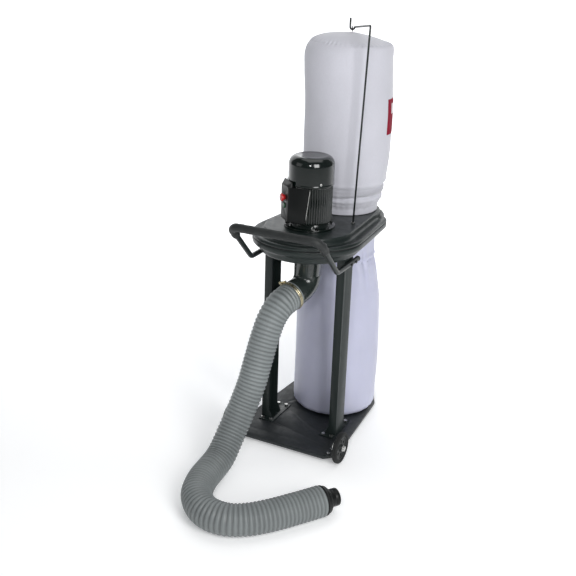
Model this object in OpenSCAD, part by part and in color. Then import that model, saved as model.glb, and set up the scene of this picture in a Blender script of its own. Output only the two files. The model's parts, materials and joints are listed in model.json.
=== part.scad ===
// Single-bag workshop dust collector: a fan housing on two channel legs, a vertical motor above it,
// a filter bag over the outlet, a collection bag under it and a corrugated inlet hose.
// Origin: floor level, in the middle of the machine without its hose. +X right, +Y back, +Z up.

/* [Base] */
// Width of the base along its front edge
base_front_w = 442; // [430:1:450]
// Width of the base beside the bag axis, where the rear corners are cut off
base_mid_w = 374; // [374:1:390]
// Width of the base along its back edge
base_back_w = 216; // [210:1:230]
// Distance from the origin to the back edge of the base
base_back_y = 382; // [380:1:384]
// Depth of the base from front edge to back edge
base_depth = 664; // [655:1:670]
// Height of the top face of the base above the floor
base_top = 26; // [24:1:30]
// Height of the turned-down lip round the base
base_lip = 10; // [8:1:14]

/* [Legs] */
// Distance from the middle of the machine to the outer face of a leg
leg_outer = 160; // [156:1:164]
// Width of the flanges of a leg channel
leg_flange = 30; // [26:1:34]
// Depth of a leg channel from front to back
leg_depth = 74; // [70:1:80]

/* [Wheels] */
// Diameter of the wheels over the tread
wheel_d = 118; // [112:1:124]
// Width of the wheel tread
wheel_w = 19; // [17:1:22]
// Distance of the wheel axle in front of the origin
axle_y = 244; // [240:1:250]

/* [Fan housing] */
// Height of the underside of the fan housing above the floor
housing_bottom = 742; // [738:1:746]
// Height of the deck that carries the motor
deck_top = 832; // [828:1:838]
// Radius of the lower drum round the motor axis
drum_r = 180; // [178:1:184]
// Radius of the bolted rim round the motor axis
rim_r = 206; // [204:1:208]
// Radius of the raised deck round the motor axis
deck_r = 163; // [160:1:165]
// Distance of the motor axis in front of the origin
motor_y = 93; // [91:1:95]
// Distance of the bag axis behind the origin
bag_y = 207; // [205:1:210]

/* [Motor] */
// Radius of the motor over its fan cowl
cowl_r = 82; // [81:1:84]
// Height of the top of the fan cowl above the floor
motor_top = 1091; // [1085:1:1095]

/* [Bags] */
// Radius of the upper filter bag
filter_r = 162; // [158:1:163]
// Height of the top of the filter bag above the floor
filter_top = 1488; // [1480:1:1490]
// Radius of the lower collection bag
sack_r = 166; // [160:1:167]

/* [Hose] */
// Outer radius of the corrugated hose
hose_r = 52; // [50:1:52]
// Angle that the inlet elbow turns through, from straight down
elbow_bend = 75; // [70:1:80]
// Angle that the inlet elbow is turned to the left of straight ahead
elbow_turn = 15; // [12:1:18]

/* [Hidden] */
$fn = 64;

// Sheet metal
sheet = 2.5;
base_floor = base_top - base_lip;
base_front_y = base_back_y - base_depth;
corner_x = 40;
corner_y = 34;
frame_green = [0.20, 0.23, 0.23];
slate = [0.20, 0.23, 0.26];
motor_green = [0.10, 0.13, 0.12];
zinc = [0.75, 0.75, 0.72];
bare_steel = [0.62, 0.63, 0.65];
black = [0.08, 0.08, 0.09];

// Legs
leg_front = -126;
foot_t = 3;
foot_x0 = 100;
foot_y0 = -150;
foot_y1 = 8;
tab_x0 = 104;
tab_t = 3;
tab_bolt_x = 128;
leg_top = housing_bottom - tab_t;
foot_bolt_xy = [[114, -138], [148, -138], [114, -4], [148, -4]];
tab_bolt_y = [-110, -68];

// Wheels
wheel_r = wheel_d / 2;
wheel_in = 221.5;
bracket_t = 4;
bracket_x = 208;
axle_r = 6;
axle_out = wheel_in + wheel_w + 3;

// Housing
flange_t = 2.5;
seal_t = 1;
seal_z = 797;
upper_z = seal_z + seal_t;
rim_rear_r = 162;
shoulder_xy = [128, 190];
shoulder_r = 58;
lip_down = 24;
lip_up = 13;
drum_rear_r = 140;
deck_rear_r = 143;
collar_r = 125;
collar_up = 40;
collar_down = 42;
rim_bolt_r = 195;
rim_bolt_rear_r = 152.5;

// Inlet
pipe_r = 50;
pipe_wall = 2;
pipe_bottom = 649;
inlet_flange_r = 74;
elbow_r = 56;
spigot_len = 64;
sleeve_len = 30;
exit_fwd = elbow_r * (1 - cos(elbow_bend)) + spigot_len * sin(elbow_bend);
exit_drop = elbow_r * sin(elbow_bend) + spigot_len * cos(elbow_bend);

// Motor
frame_z0 = 854;
frame_z1 = 988;
core_r = 66;
fin_r = 79;
fins = 40;
bore_r = 57;
shaft_r = 9.5;
cowl_z0 = 990;
shield_z0 = deck_top;
motor_flange_r = 92;
motor_flange_t = 8;
bearing_r = 23.5;
box_turn = -44;
box_half = 36;
box_back = 67;
box_front = 95;
box_z0 = 862;
box_z1 = 1004;
plate_t = 3;
gland_y = 84;
start_z = 914;
stop_z = 944;
start_r = 9;
stop_r = 13;

// Handle
handle_r = 9.5;
grip_r = 15;
handle_x = leg_outer + handle_r + 0.2;
arm_end_y = -31;
arm_z = 720;
arm_turn_y = -215;
arm_rise = 152;
arm_bend = 30;
bar_bend = 34;
handle_bolt_y = [-108, -70];

// Hanger rod: foot on the deck, top corner, and where the hook over the bag starts. The azimuth is
// the way the hook runs.
rod_r = 3.5;
rod_foot = [122, 20, deck_top - 12];
rod_corner = [144, 22, 1529];
rod_hook = [7, bag_y + 4, 1504];
hook_r = 8;
hook_azimuth = 206;
hook_up = 32;

// Bags
cloth = 3;
neck_r = collar_r + 0.4;
strap_z_up = 836;
strap_z_down = 716;
strap_h = 14;
lever_angle = 180;

// Hose route: middle line from the spigot to the end fitting
hose_sides = 12;
exit_point = [-sin(elbow_turn) * exit_fwd, -motor_y - cos(elbow_turn) * exit_fwd,
              pipe_bottom - exit_drop];
exit_dir = [-sin(elbow_turn) * sin(elbow_bend), -cos(elbow_turn) * sin(elbow_bend),
            -cos(elbow_bend)];
hose_points = [
    exit_point,
    [-38, -240, 562],
    [-50, -280, 518],
    [-60, -312, 448],
    [-68, -340, 374],
    [-76, -368, 298],
    [-92, -406, 214],
    [-106, -464, 128],
    [-108, -530, 72],
    [-108, -604, 54],
    [-96, -680, 54],
    [-64, -756, 54],
    [0, -812, 54],
    [76, -822, 54],
    [140, -792, 54],
    [200, -732, 54],
    [260, -650, 54],
    [310, -577, 54]
];
hose_end = hose_points[len(hose_points) - 1];
end_dir = unit(hose_end - hose_points[len(hose_points) - 2]);
cuff_len = 20;
nozzle_len = 40;
cuff_r = 48;
nozzle_r = 30;
nozzle_wall = 2.5;

// ---- helpers ----

function unit(v) = v / norm(v);
function half_w(y) = base_front_w / 2
    - (base_front_w - base_mid_w) / 2 * (y - base_front_y) / (bag_y - base_front_y);
function arc(cx, cy, r, a0, a1, n) =
    [for (i = [0:n]) let (a = a0 + (a1 - a0) * i / n) [cx + r * cos(a), cy + r * sin(a)]];

module at_motor(z = 0) translate([0, -motor_y, z]) children();
module at_bag(z = 0) translate([0, bag_y, z]) children();
module both_sides() {
    children();
    mirror([1, 0, 0]) children();
}
module ring(r_out, r_in, h) difference() {
    cylinder(r = r_out, h = h);
    translate([0, 0, -1]) cylinder(r = r_in, h = h + 2);
}
module hex(across, h) cylinder(r = across / sqrt(3), h = h, $fn = 6);

// A round bar along a route of points: rings of points square to each heading, joined up. The
// reference direction, which no heading follows, sets where each ring starts.
function headings(path) = [for (i = [0:len(path) - 1])
    unit(path[min(i + 1, len(path) - 1)] - path[max(i - 1, 0)])];
function ring_points(centre, t, r, sides, ref) = let (side = unit(cross(ref, t)), up = cross(t, side))
    [for (k = [0:sides - 1]) centre + r * (cos(360 * k / sides) * side + sin(360 * k / sides) * up)];
module skin(rings, sides) polyhedron(
    points = [for (g = rings) each g],
    faces = concat(
        [[for (k = [0:sides - 1]) k]],
        [for (i = [0:len(rings) - 2], k = [0:sides - 1]) let (n = (k + 1) % sides)
            [i * sides + k, (i + 1) * sides + k, (i + 1) * sides + n, i * sides + n]],
        [[for (k = [sides - 1:-1:0]) (len(rings) - 1) * sides + k]]
    ),
    convexity = 10
);
module sweep(path, t, r, sides, ref)
    skin([for (i = [0:len(path) - 1]) ring_points(path[i], t[i], r, sides, ref)], sides);

// A bent tube along a route: outer rings forwards and inner rings back, closed at both ends.
module bent_tube(path, t, r_out, r_in, sides, ref) {
    rings = len(path);
    polyhedron(
        points = concat(
            [for (i = [0:rings - 1]) each ring_points(path[i], t[i], r_out, sides, ref)],
            [for (i = [rings - 1:-1:0]) each ring_points(path[i], t[i], r_in, sides, ref)]
        ),
        faces = [for (i = [0:2 * rings - 1], k = [0:sides - 1])
            let (n = (k + 1) % sides, j = (i + 1) % (2 * rings))
            [i * sides + k, j * sides + k, j * sides + n, i * sides + n]],
        convexity = 10
    );
}

// Plan of the housing: a large circle round the motor and a small one round the bag, joined by
// straight sides that start just inside the circles.
module plan(r_front, r_rear) {
    d = motor_y + bag_y;
    lean = acos((r_front - r_rear) / d) - 3;
    at_motor() circle(r = r_front);
    at_bag() circle(r = r_rear);
    polygon([
        [r_front * sin(lean), -motor_y + r_front * cos(lean)],
        [r_rear * sin(lean), bag_y + r_rear * cos(lean)],
        [-r_rear * sin(lean), bag_y + r_rear * cos(lean)],
        [-r_front * sin(lean), -motor_y + r_front * cos(lean)]
    ]);
}

// The same plan with fuller shoulders beside the bag, whose corners are round.
module wide_plan(r_front, r_rear) {
    r = shoulder_r + r_front - rim_r;
    away = [shoulder_xy[0], shoulder_xy[1] + motor_y];
    n = atan2(away[1], away[0]) - acos((r_front - r) / norm(away)) + 3;
    plan(r_front, r_rear);
    both_sides() {
        translate(shoulder_xy) circle(r = r);
        polygon([
            [0, -motor_y], [r_front * cos(n), r_front * sin(n) - motor_y],
            shoulder_xy + r * [cos(n), sin(n)], shoulder_xy, [0, shoulder_xy[1]]
        ]);
    }
}

// Places of the rim bolts: round the front arc, along both sides, round the back arc.
function rim_bolt_points() = concat(
    [for (a = [190:32:350]) [rim_bolt_r * cos(a), -motor_y + rim_bolt_r * sin(a)]],
    [for (s = [-1, 1], t = [0.3, 0.72])
        [s * (rim_bolt_r - 4.5 - 21.5 * t), -motor_y + (motor_y + bag_y) * t + 23]],
    [for (a = [25:43.33:156]) [rim_bolt_rear_r * cos(a), bag_y + rim_bolt_rear_r * sin(a)]]
);

// ---- base and legs ----

module base_outline(inset) {
    y0 = base_front_y + inset;
    y1 = base_back_y - inset;
    xf = base_front_w / 2 - inset;
    xm = base_mid_w / 2 - inset;
    xb = base_back_w / 2 - inset / 2;
    polygon([
        [-xf + corner_x, y0], [xf - corner_x, y0], [half_w(y0 + corner_y) - inset, y0 + corner_y],
        [xm, bag_y], [xb, y1], [-xb, y1], [-xm, bag_y],
        [-half_w(y0 + corner_y) + inset, y0 + corner_y]
    ]);
}

foot_pad_xy = [[88, 350], [-88, 350]];
bracket_screw_y = [-258, -226];

module base_plate() color(slate) difference() {
    translate([0, 0, base_floor]) linear_extrude(base_lip) base_outline(0);
    translate([0, 0, base_floor - 1]) linear_extrude(base_lip + 1 - sheet) base_outline(sheet);
    both_sides() {
        for (p = foot_bolt_xy) translate([p[0], p[1], 0]) cylinder(r = 4.2, h = 60);
        for (y = bracket_screw_y) translate([190, y, 0]) cylinder(r = 3.2, h = 60);
    }
    for (p = foot_pad_xy) translate([p[0], p[1], 0]) cylinder(r = 3.2, h = 60);
}

module rear_feet() color(black) for (p = foot_pad_xy) translate([p[0], p[1], 0]) difference() {
    cylinder(r1 = 17, r2 = 20, h = base_top - sheet);
    translate([0, 0, -1]) cylinder(r = 9, h = 9);
    cylinder(r = 3.2, h = 60);
}

module foot_screws() color(zinc) {
    for (p = foot_pad_xy) translate([p[0], p[1], 0]) {
        translate([0, 0, 5]) cylinder(r = 3, h = base_top - 5);
        translate([0, 0, base_top]) cylinder(r = 6.5, h = 3);
        translate([0, 0, 3]) hex(10, 5);
    }
    both_sides() for (y = bracket_screw_y) translate([190, y, 0]) {
        translate([0, 0, base_top - 10]) cylinder(r = 3, h = 10 + bracket_t);
        translate([0, 0, base_top + bracket_t]) cylinder(r = 5.5, h = 3);
        translate([0, 0, base_top - sheet - 5]) hex(10, 5);
    }
}

module leg() difference() {
    union() {
        translate([leg_outer - leg_flange, leg_front, base_top + foot_t])
            difference() {
                cube([leg_flange, leg_depth, leg_top - base_top - foot_t]);
                translate([-1, sheet, -1])
                    cube([leg_flange + 1 - sheet, leg_depth - 2 * sheet, housing_bottom]);
            }
        translate([foot_x0, foot_y0, base_top])
            cube([leg_outer - foot_x0, foot_y1 - foot_y0, foot_t]);
        translate([tab_x0, leg_front, leg_top]) cube([leg_outer - tab_x0, leg_depth, tab_t]);
        for (y = [leg_front, leg_front + leg_depth - sheet])
            translate([leg_outer - leg_flange, y + sheet, base_top + foot_t])
                rotate([90, 0, 0]) linear_extrude(sheet)
                    polygon([[0, 0], [-16, 0], [0, 34]]);
    }
    for (p = foot_bolt_xy) translate([p[0], p[1], 0]) cylinder(r = 4.2, h = 60);
    for (y = tab_bolt_y) translate([tab_bolt_x, y, leg_top - 1]) cylinder(r = 4.2, h = 10);
    for (y = handle_bolt_y) translate([leg_outer - 10, y, arm_z])
        rotate([0, 90, 0]) cylinder(r = 3.3, h = 20);
}
module left_leg() color(frame_green) mirror([1, 0, 0]) leg();
module right_leg() color(frame_green) leg();

// Bolts of the leg feet and of the leg tabs, with their nuts.
module leg_bolts() color(zinc) both_sides() {
    for (p = foot_bolt_xy) translate([p[0], p[1], 0]) {
        translate([0, 0, base_top - 12]) cylinder(r = 4, h = 12 + foot_t);
        translate([0, 0, base_top + foot_t]) hex(13, 5.3);
        translate([0, 0, base_top - sheet - 5]) hex(13, 5);
    }
    for (y = tab_bolt_y) translate([tab_bolt_x, y, 0]) {
        translate([0, 0, leg_top]) cylinder(r = 4, h = 13);
        translate([0, 0, leg_top - 5.3]) hex(13, 5.3);
        translate([0, 0, housing_bottom + sheet]) hex(13, 5);
    }
}

// ---- wheels ----

module bracket() difference() {
    union() {
        translate([180, -axle_y - 30, base_top]) cube([36, 60, bracket_t]);
        translate([bracket_x, -axle_y - 30, base_top]) cube([bracket_t, 60, 20]);
        translate([bracket_x, -axle_y, wheel_r]) rotate([0, 90, 0]) cylinder(r = 18, h = bracket_t);
        translate([bracket_x, -axle_y - 18, base_top]) cube([bracket_t, 36, wheel_r - base_top]);
    }
    translate([bracket_x - 1, -axle_y, wheel_r]) rotate([0, 90, 0])
        cylinder(r = axle_r + 0.1, h = 10);
    for (y = bracket_screw_y) translate([190, y, 0]) cylinder(r = 3.2, h = 60);
}
module wheel_brackets() color(black) both_sides() bracket();

module wheel_axles() color(zinc) both_sides()
    translate([bracket_x - 8, -axle_y, wheel_r]) rotate([0, 90, 0]) {
        cylinder(r = axle_r, h = axle_out + 6 - bracket_x + 8);
        translate([0, 0, 2]) hex(19, 6);
        translate([0, 0, 8 + bracket_t]) ring(10, axle_r, wheel_in - bracket_x - bracket_t - 0.5);
    }

module tyre() translate([wheel_in, -axle_y, wheel_r]) rotate([0, 90, 0]) rotate_extrude($fn = 96)
    polygon([[44, 3], [47, 0], [wheel_r - 4, 0], [wheel_r, 4], [wheel_r, wheel_w - 4],
             [wheel_r - 4, wheel_w], [47, wheel_w], [44, wheel_w - 3]]);
module hub() translate([wheel_in, -axle_y, wheel_r]) rotate([0, 90, 0]) difference() {
    rotate_extrude($fn = 96) polygon([
        [axle_r + 0.08, 0], [13, 0], [15, 7], [38, 7], [40, 3], [44, 3], [44, wheel_w - 3],
        [40, wheel_w - 3], [38, wheel_w - 7], [15, wheel_w - 7], [13, wheel_w],
        [axle_r + 0.08, wheel_w]
    ]);
    for (a = [0:60:300]) rotate([0, 0, a]) translate([27, 0, -1]) cylinder(r = 6, h = 40);
}
module left_wheel_tyre() color(black) mirror([1, 0, 0]) tyre();
module left_wheel_hub() color([0.22, 0.24, 0.22]) mirror([1, 0, 0]) hub();
module right_wheel_tyre() color(black) tyre();
module right_wheel_hub() color([0.22, 0.24, 0.22]) hub();

module axle_nuts() color(zinc) both_sides()
    translate([wheel_in + wheel_w + 0.5, -axle_y, wheel_r]) rotate([0, 90, 0]) {
        ring(11, axle_r + 0.05, 1.5);
        translate([0, 0, 1.5]) difference() {
            hex(18, 6);
            translate([0, 0, -1]) cylinder(r = axle_r + 0.05, h = 9);
        }
    }

// ---- fan housing ----

module rim_lip() difference() {
    wide_plan(rim_r, rim_rear_r);
    wide_plan(rim_r - flange_t, rim_rear_r - flange_t);
}
module housing_lower() color(frame_green) difference() {
    union() {
        translate([0, 0, housing_bottom]) linear_extrude(seal_z - housing_bottom)
            wide_plan(drum_r, drum_rear_r);
        translate([0, 0, seal_z - flange_t]) linear_extrude(flange_t) wide_plan(rim_r, rim_rear_r);
        translate([0, 0, seal_z - lip_down]) linear_extrude(lip_down) rim_lip();
        at_bag(housing_bottom - collar_down) cylinder(r = collar_r, h = collar_down + 1);
    }
    translate([0, 0, housing_bottom + sheet]) linear_extrude(100)
        wide_plan(drum_r - sheet, drum_rear_r - sheet);
    at_bag(housing_bottom - collar_down - 1) cylinder(r = collar_r - sheet, h = 80);
    at_motor(housing_bottom - 1) cylinder(r = pipe_r - pipe_wall, h = 20);
    for (p = rim_bolt_points()) translate([p[0], p[1], seal_z - 10]) cylinder(r = 2.7, h = 20);
    both_sides() for (y = tab_bolt_y)
        translate([tab_bolt_x, y, housing_bottom - 1]) cylinder(r = 4.2, h = 10);
    for (a = inlet_bolt_angles) at_motor(housing_bottom - 1) rotate([0, 0, a])
        translate([62, 0, 0]) cylinder(r = 2.7, h = 10);
}

module housing_seal() color([0.15, 0.15, 0.15]) translate([0, 0, seal_z]) difference() {
    linear_extrude(seal_t) wide_plan(rim_r - 1, rim_rear_r - 1);
    translate([0, 0, -1]) linear_extrude(5) plan(drum_r - sheet, deck_rear_r - sheet);
    for (p = rim_bolt_points()) translate([p[0], p[1], -2]) cylinder(r = 2.7, h = 20);
}

module housing_upper() color(frame_green) difference() {
    union() {
        translate([0, 0, upper_z]) linear_extrude(flange_t) wide_plan(rim_r, rim_rear_r);
        translate([0, 0, upper_z]) linear_extrude(lip_up) rim_lip();
        translate([0, 0, upper_z]) linear_extrude(deck_top - upper_z)
            plan(deck_r, deck_rear_r);
        at_bag(deck_top - 1) cylinder(r = collar_r, h = collar_up + 1);
    }
    translate([0, 0, upper_z - 1]) linear_extrude(deck_top - upper_z + 1 - sheet)
        plan(deck_r - sheet, deck_rear_r - sheet);
    at_bag(upper_z) cylinder(r = collar_r - sheet, h = 150);
    at_motor(upper_z) cylinder(r = 40, h = 60);
    for (p = rim_bolt_points()) translate([p[0], p[1], seal_z - 5]) cylinder(r = 2.7, h = 20);
    for (a = [45:90:315]) at_motor(deck_top - 10) rotate([0, 0, a]) translate([83, 0, 0])
        cylinder(r = 3.3, h = 20);
    translate([rod_foot[0], rod_foot[1], deck_top - 10]) cylinder(r = rod_r + 0.9, h = 20);
}

module housing_bolts() color(zinc) for (p = rim_bolt_points()) translate([p[0], p[1], 0]) {
    translate([0, 0, seal_z - 9]) cylinder(r = 2.5, h = 9 + seal_t + flange_t);
    translate([0, 0, upper_z + flange_t]) cylinder(r = 4.5, h = 3);
    translate([0, 0, seal_z - flange_t - 4]) hex(8, 4);
}

inlet_bolt_angles = [30:60:330];

module inlet_pipe() color(motor_green) at_motor() difference() {
    union() {
        translate([0, 0, pipe_bottom]) cylinder(r = pipe_r, h = housing_bottom - pipe_bottom);
        translate([0, 0, housing_bottom - 3]) cylinder(r = inlet_flange_r, h = 3);
    }
    translate([0, 0, pipe_bottom - 1]) cylinder(r = pipe_r - pipe_wall, h = 200);
    for (a = inlet_bolt_angles) rotate([0, 0, a]) translate([62, 0, housing_bottom - 5])
        cylinder(r = 2.7, h = 10);
}

module inlet_bolts() color(zinc) for (a = inlet_bolt_angles)
    at_motor(housing_bottom) rotate([0, 0, a]) translate([62, 0, 0]) {
        translate([0, 0, -3]) cylinder(r = 2.5, h = 12);
        translate([0, 0, -6.5]) cylinder(r = 4.5, h = 3.5);
        translate([0, 0, sheet]) hex(8, 4);
    }

// Elbow in its own frame: it starts at the origin, heading down, bends towards -Y and ends in a
// straight spigot.
function bend_point(a) = [0, -elbow_r * (1 - cos(a)), -elbow_r * sin(a)];
function spigot_point(s) = bend_point(elbow_bend) + s * [0, -sin(elbow_bend), -cos(elbow_bend)];
elbow_angles = [for (i = [0:9]) elbow_bend * i / 9];
elbow_route = concat([for (a = elbow_angles) bend_point(a)], [spigot_point(spigot_len)]);
elbow_headings = [for (a = concat(elbow_angles, [elbow_bend])) [0, -sin(a), -cos(a)]];

module elbow_frame() translate([0, -motor_y, pipe_bottom]) rotate([0, 0, -elbow_turn]) children();
// Places children with their Z along the spigot, starting where the bend ends.
module spigot_frame() elbow_frame()
    translate(bend_point(elbow_bend)) rotate([180 - elbow_bend, 0, 0]) children();

module inlet_elbow() color(motor_green) elbow_frame()
    bent_tube(elbow_route, elbow_headings, pipe_r, pipe_r - pipe_wall, 32, [1, 0, 0]);

// ---- rotor ----

module impeller() color(bare_steel) at_motor() {
    difference() {
        union() {
            translate([0, 0, 806]) cylinder(r = 118, h = 3);
            translate([0, 0, 782]) cylinder(r = 20, h = 30);
            for (a = [0:45:315]) rotate([0, 0, a]) translate([22, 0, 764])
                rotate([0, 0, -22]) cube([96, 2.5, 43]);
        }
        translate([0, 0, 700]) cylinder(r = shaft_r + 0.05, h = 200);
    }
}

module impeller_nut() color(zinc) at_motor() {
    translate([0, 0, 779.5]) ring(16, shaft_r + 0.05, 2.5);
    translate([0, 0, 769.5]) difference() {
        hex(30, 10);
        translate([0, 0, -1]) cylinder(r = shaft_r + 0.05, h = 20);
    }
}

module motor_shaft() color(bare_steel) at_motor(766) cylinder(r = shaft_r, h = 272);

module rotor_core() color([0.55, 0.55, 0.56]) at_motor() {
    translate([0, 0, 884]) ring(33.5, shaft_r + 0.05, 74);
    for (z = [874, 958]) translate([0, 0, z]) ring(30, 18, 10);
}

module cooling_fan() color(black) at_motor(1014) {
    difference() {
        union() {
            cylinder(r = 16, h = 20);
            cylinder(r = 62, h = 2);
            for (a = [0:60:300]) rotate([0, 0, a]) translate([12, -1, 0]) cube([48, 2, 18]);
        }
        translate([0, 0, -1]) cylinder(r = shaft_r + 0.05, h = 30);
    }
}

// ---- motor ----

module stator_core() color([0.45, 0.35, 0.25]) at_motor() {
    translate([0, 0, 884]) ring(bore_r - 0.2, 34, 74);
    for (z = [868, 958]) translate([0, 0, z]) ring(52, 38, 16);
}

module motor_frame() color(motor_green) at_motor() difference() {
    union() {
        translate([0, 0, frame_z0]) cylinder(r = core_r, h = frame_z1 - frame_z0);
        for (i = [0:fins - 1]) rotate([0, 0, i * 360 / fins])
            translate([core_r - 3, -1.3, frame_z0 + 2])
                cube([fin_r - core_r + 3, 2.6, frame_z1 - frame_z0 - 4]);
    }
    translate([0, 0, frame_z0 - 1]) cylinder(r = bore_r, h = 200);
    rotate([0, 0, box_turn])
        translate([-box_half - 0.3, -150, box_z0 - 10])
            cube([2 * box_half + 0.6, 150 - core_r - 0.6, 200]);
}

module drive_end_shield() color(motor_green) at_motor() difference() {
    union() {
        translate([0, 0, shield_z0]) cylinder(r = motor_flange_r, h = motor_flange_t);
        translate([0, 0, shield_z0]) cylinder(r = 74, h = frame_z0 - shield_z0);
    }
    translate([0, 0, shield_z0 - 1]) cylinder(r = 14, h = 60);
    translate([0, 0, 838]) cylinder(r = bearing_r + 0.05, h = 60);
    for (a = [45:90:315]) rotate([0, 0, a]) translate([83, 0, shield_z0 - 1])
        cylinder(r = 3.3, h = 20);
}

module drive_bearing() color(bare_steel) at_motor(839) ring(bearing_r, shaft_r + 0.04, 14);

module rear_end_shield() color(motor_green) at_motor() difference() {
    translate([0, 0, frame_z1]) cylinder(r = 74, h = 20);
    translate([0, 0, frame_z1 - 1]) cylinder(r = bearing_r + 0.05, h = 15);
    cylinder(r = 14, h = 1200);
}

module rear_bearing() color(bare_steel) at_motor(frame_z1) ring(bearing_r, shaft_r + 0.04, 14);

// Fan cowl: thin shell with a rounded shoulder, a grille on top and short slots round it.
cowl_wall = 1.5;
shoulder = 20;
function cowl_profile(r, top, rr) = concat(
    [[0, cowl_z0 - 1], [r, cowl_z0 - 1]],
    arc(r - rr, top - rr, rr, 0, 90, 8),
    [[0, top]]
);
module fan_cowl() color(motor_green) at_motor() difference() {
    rotate_extrude($fn = 96) polygon(cowl_profile(cowl_r, motor_top, shoulder));
    rotate_extrude($fn = 96)
        polygon(cowl_profile(cowl_r - cowl_wall, motor_top - cowl_wall, shoulder - cowl_wall));
    translate([0, 0, cowl_z0 - 5]) cylinder(r = 200, h = 5);
    for (i = [0:35]) rotate([0, 0, i * 10])
        translate([cowl_r - 10, -1.5, motor_top - 36]) cube([20, 3, 16]);
    for (i = [0:17]) rotate([0, 0, i * 20])
        translate([22, -2, motor_top - 5]) cube([34, 4, 10]);
    for (a = [-40:120:200]) rotate([0, 0, a]) translate([cowl_r - 10, 0, 1002])
        rotate([0, 90, 0]) cylinder(r = 2.2, h = 20);
}

module cowl_screws() color(zinc) for (a = [-40:120:200])
    at_motor(1002) rotate([0, 0, a]) {
        translate([74, 0, 0]) rotate([0, 90, 0]) cylinder(r = 2, h = cowl_r - 74);
        translate([cowl_r, 0, 0]) rotate([0, 90, 0]) cylinder(r = 4.5, h = 2.5);
    }

module motor_bolts() color(zinc) for (a = [45:90:315])
    at_motor() rotate([0, 0, a]) translate([83, 0, 0]) {
        translate([0, 0, deck_top - 10]) cylinder(r = 3, h = 10 + motor_flange_t);
        translate([0, 0, deck_top + motor_flange_t]) hex(10, 5);
        translate([0, 0, deck_top - sheet - 5]) hex(10, 5);
    }

// ---- switch box, in its own frame facing -Y ----

module at_box() at_motor() rotate([0, 0, box_turn]) children();
module box_side(inset) translate([-box_half + inset, 0, 0]) rotate([90, 0, 90])
    linear_extrude(2 * (box_half - inset)) polygon([
        [-box_front, box_z0 + inset], [-box_back - inset, box_z0 + inset],
        [-box_back - inset, frame_z1 - 2 - inset], [-cowl_r - 1 - inset, frame_z1 - 2 - inset],
        [-cowl_r - 1 - inset, box_z1 - inset], [-cowl_r - 5, box_z1 - inset],
        [-box_front, box_z1 - 16 - inset]
    ]);
// Plan of a cheek: it fills the gap between a side of the box and the round motor.
cheek = [[box_half - 1, 1 - box_front], [box_half, 1 - box_front], [72, -44], [66, -38],
         [box_half - 1, -60]];
module switch_box() color(black) at_box() difference() {
    union() {
        box_side(0);
        both_sides() difference() {
            translate([0, 0, box_z0]) linear_extrude(frame_z1 - 2 - box_z0) polygon(cheek);
            cylinder(r = fin_r + 0.4, h = 1200);
        }
    }
    intersection() {
        translate([-60, -box_front - 1, 0]) cube([120, 200, 2000]);
        translate([0, -0.01, 0]) box_side(2);
    }
    translate([0, -gland_y, box_z0 - 5]) cylinder(r = 6.1, h = 10);
}
module switch_plate() color(black) at_box() difference() {
    translate([-box_half, -box_front - plate_t, box_z0])
        cube([2 * box_half, plate_t, box_z1 - 17 - box_z0]);
    translate([0, -box_front - 10, start_z]) rotate([-90, 0, 0]) cylinder(r = start_r + 0.4, h = 20);
    translate([0, -box_front - 10, stop_z]) rotate([-90, 0, 0]) cylinder(r = stop_r - 3.6, h = 20);
}
module switch_block() color([0.2, 0.2, 0.2]) at_box()
    translate([-22, -box_front + 11, 896]) cube([44, 12, 82]);
module start_button() color([0.1, 0.5, 0.25]) at_box()
    translate([0, -box_front - plate_t - 4, start_z]) rotate([-90, 0, 0]) {
        cylinder(r = start_r, h = 10);
        cylinder(r = 4, h = 14);
    }
module stop_button() color([0.85, 0.1, 0.1]) at_box()
    translate([0, -box_front - plate_t - 15, stop_z]) rotate([-90, 0, 0]) {
        cylinder(r = stop_r + 1, h = 9);
        cylinder(r = stop_r - 4, h = 25);
    }
module run_capacitor() color([0.85, 0.85, 0.82]) at_box()
    translate([20, -box_back - 13, 870]) cylinder(r = 9, h = 22);
module cable_gland() color(black) at_box() translate([0, -gland_y, box_z0]) {
    translate([0, 0, -14]) difference() {
        union() {
            hex(16, 8);
            cylinder(r = 6, h = 18);
            translate([0, 0, 8]) cylinder(r = 8.5, h = 6);
        }
        translate([0, 0, -1]) cylinder(r = 3.5, h = 40);
    }
    translate([0, 0, 2]) ring(9, 6.05, 3);
}

// ---- handle ----

// Half of the handle as a route: the arm, the bend up the slope, and the bend into the cross bar.
slope_len = arm_rise * sqrt(2);
trim = arm_bend * tan(22.5);
bar_y = arm_turn_y - arm_rise;
bar_z = arm_z + arm_rise;
function up_slope(s) = [0, -s / sqrt(2), s / sqrt(2)];
corner = [handle_x, arm_turn_y, arm_z];
handle_route = concat(
    [[handle_x, arm_end_y, arm_z]],
    [for (a = [0, 22.5, 45]) [handle_x, arm_turn_y + trim - arm_bend * sin(a),
                              arm_z + arm_bend * (1 - cos(a))]],
    [for (a = [0:22.5:90]) corner + up_slope(slope_len - bar_bend * (1 - sin(a)))
        - [bar_bend * (1 - cos(a)), 0, 0]],
    [[0, bar_y, bar_z]]
);
handle_path = concat(handle_route,
    [for (i = [len(handle_route) - 2:-1:0]) [-handle_route[i][0], handle_route[i][1],
                                             handle_route[i][2]]]);
module handle_tube() color(black) difference() {
    sweep(handle_path, headings(handle_path), handle_r, 16, [0, 1, 1]);
    both_sides() {
        translate([handle_x, arm_end_y + 1, arm_z]) rotate([90, 0, 0])
            cylinder(r = handle_r - 1.5, h = arm_end_y - arm_turn_y - trim);
        for (y = handle_bolt_y) translate([leg_outer - 5, y, arm_z])
            rotate([0, 90, 0]) cylinder(r = 3.3, h = 40);
    }
}
module handle_grip() color([0.13, 0.14, 0.14]) translate([bar_bend - handle_x, bar_y, bar_z])
    rotate([0, 90, 0]) ring(grip_r, handle_r + 0.1, 2 * (handle_x - bar_bend));
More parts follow.
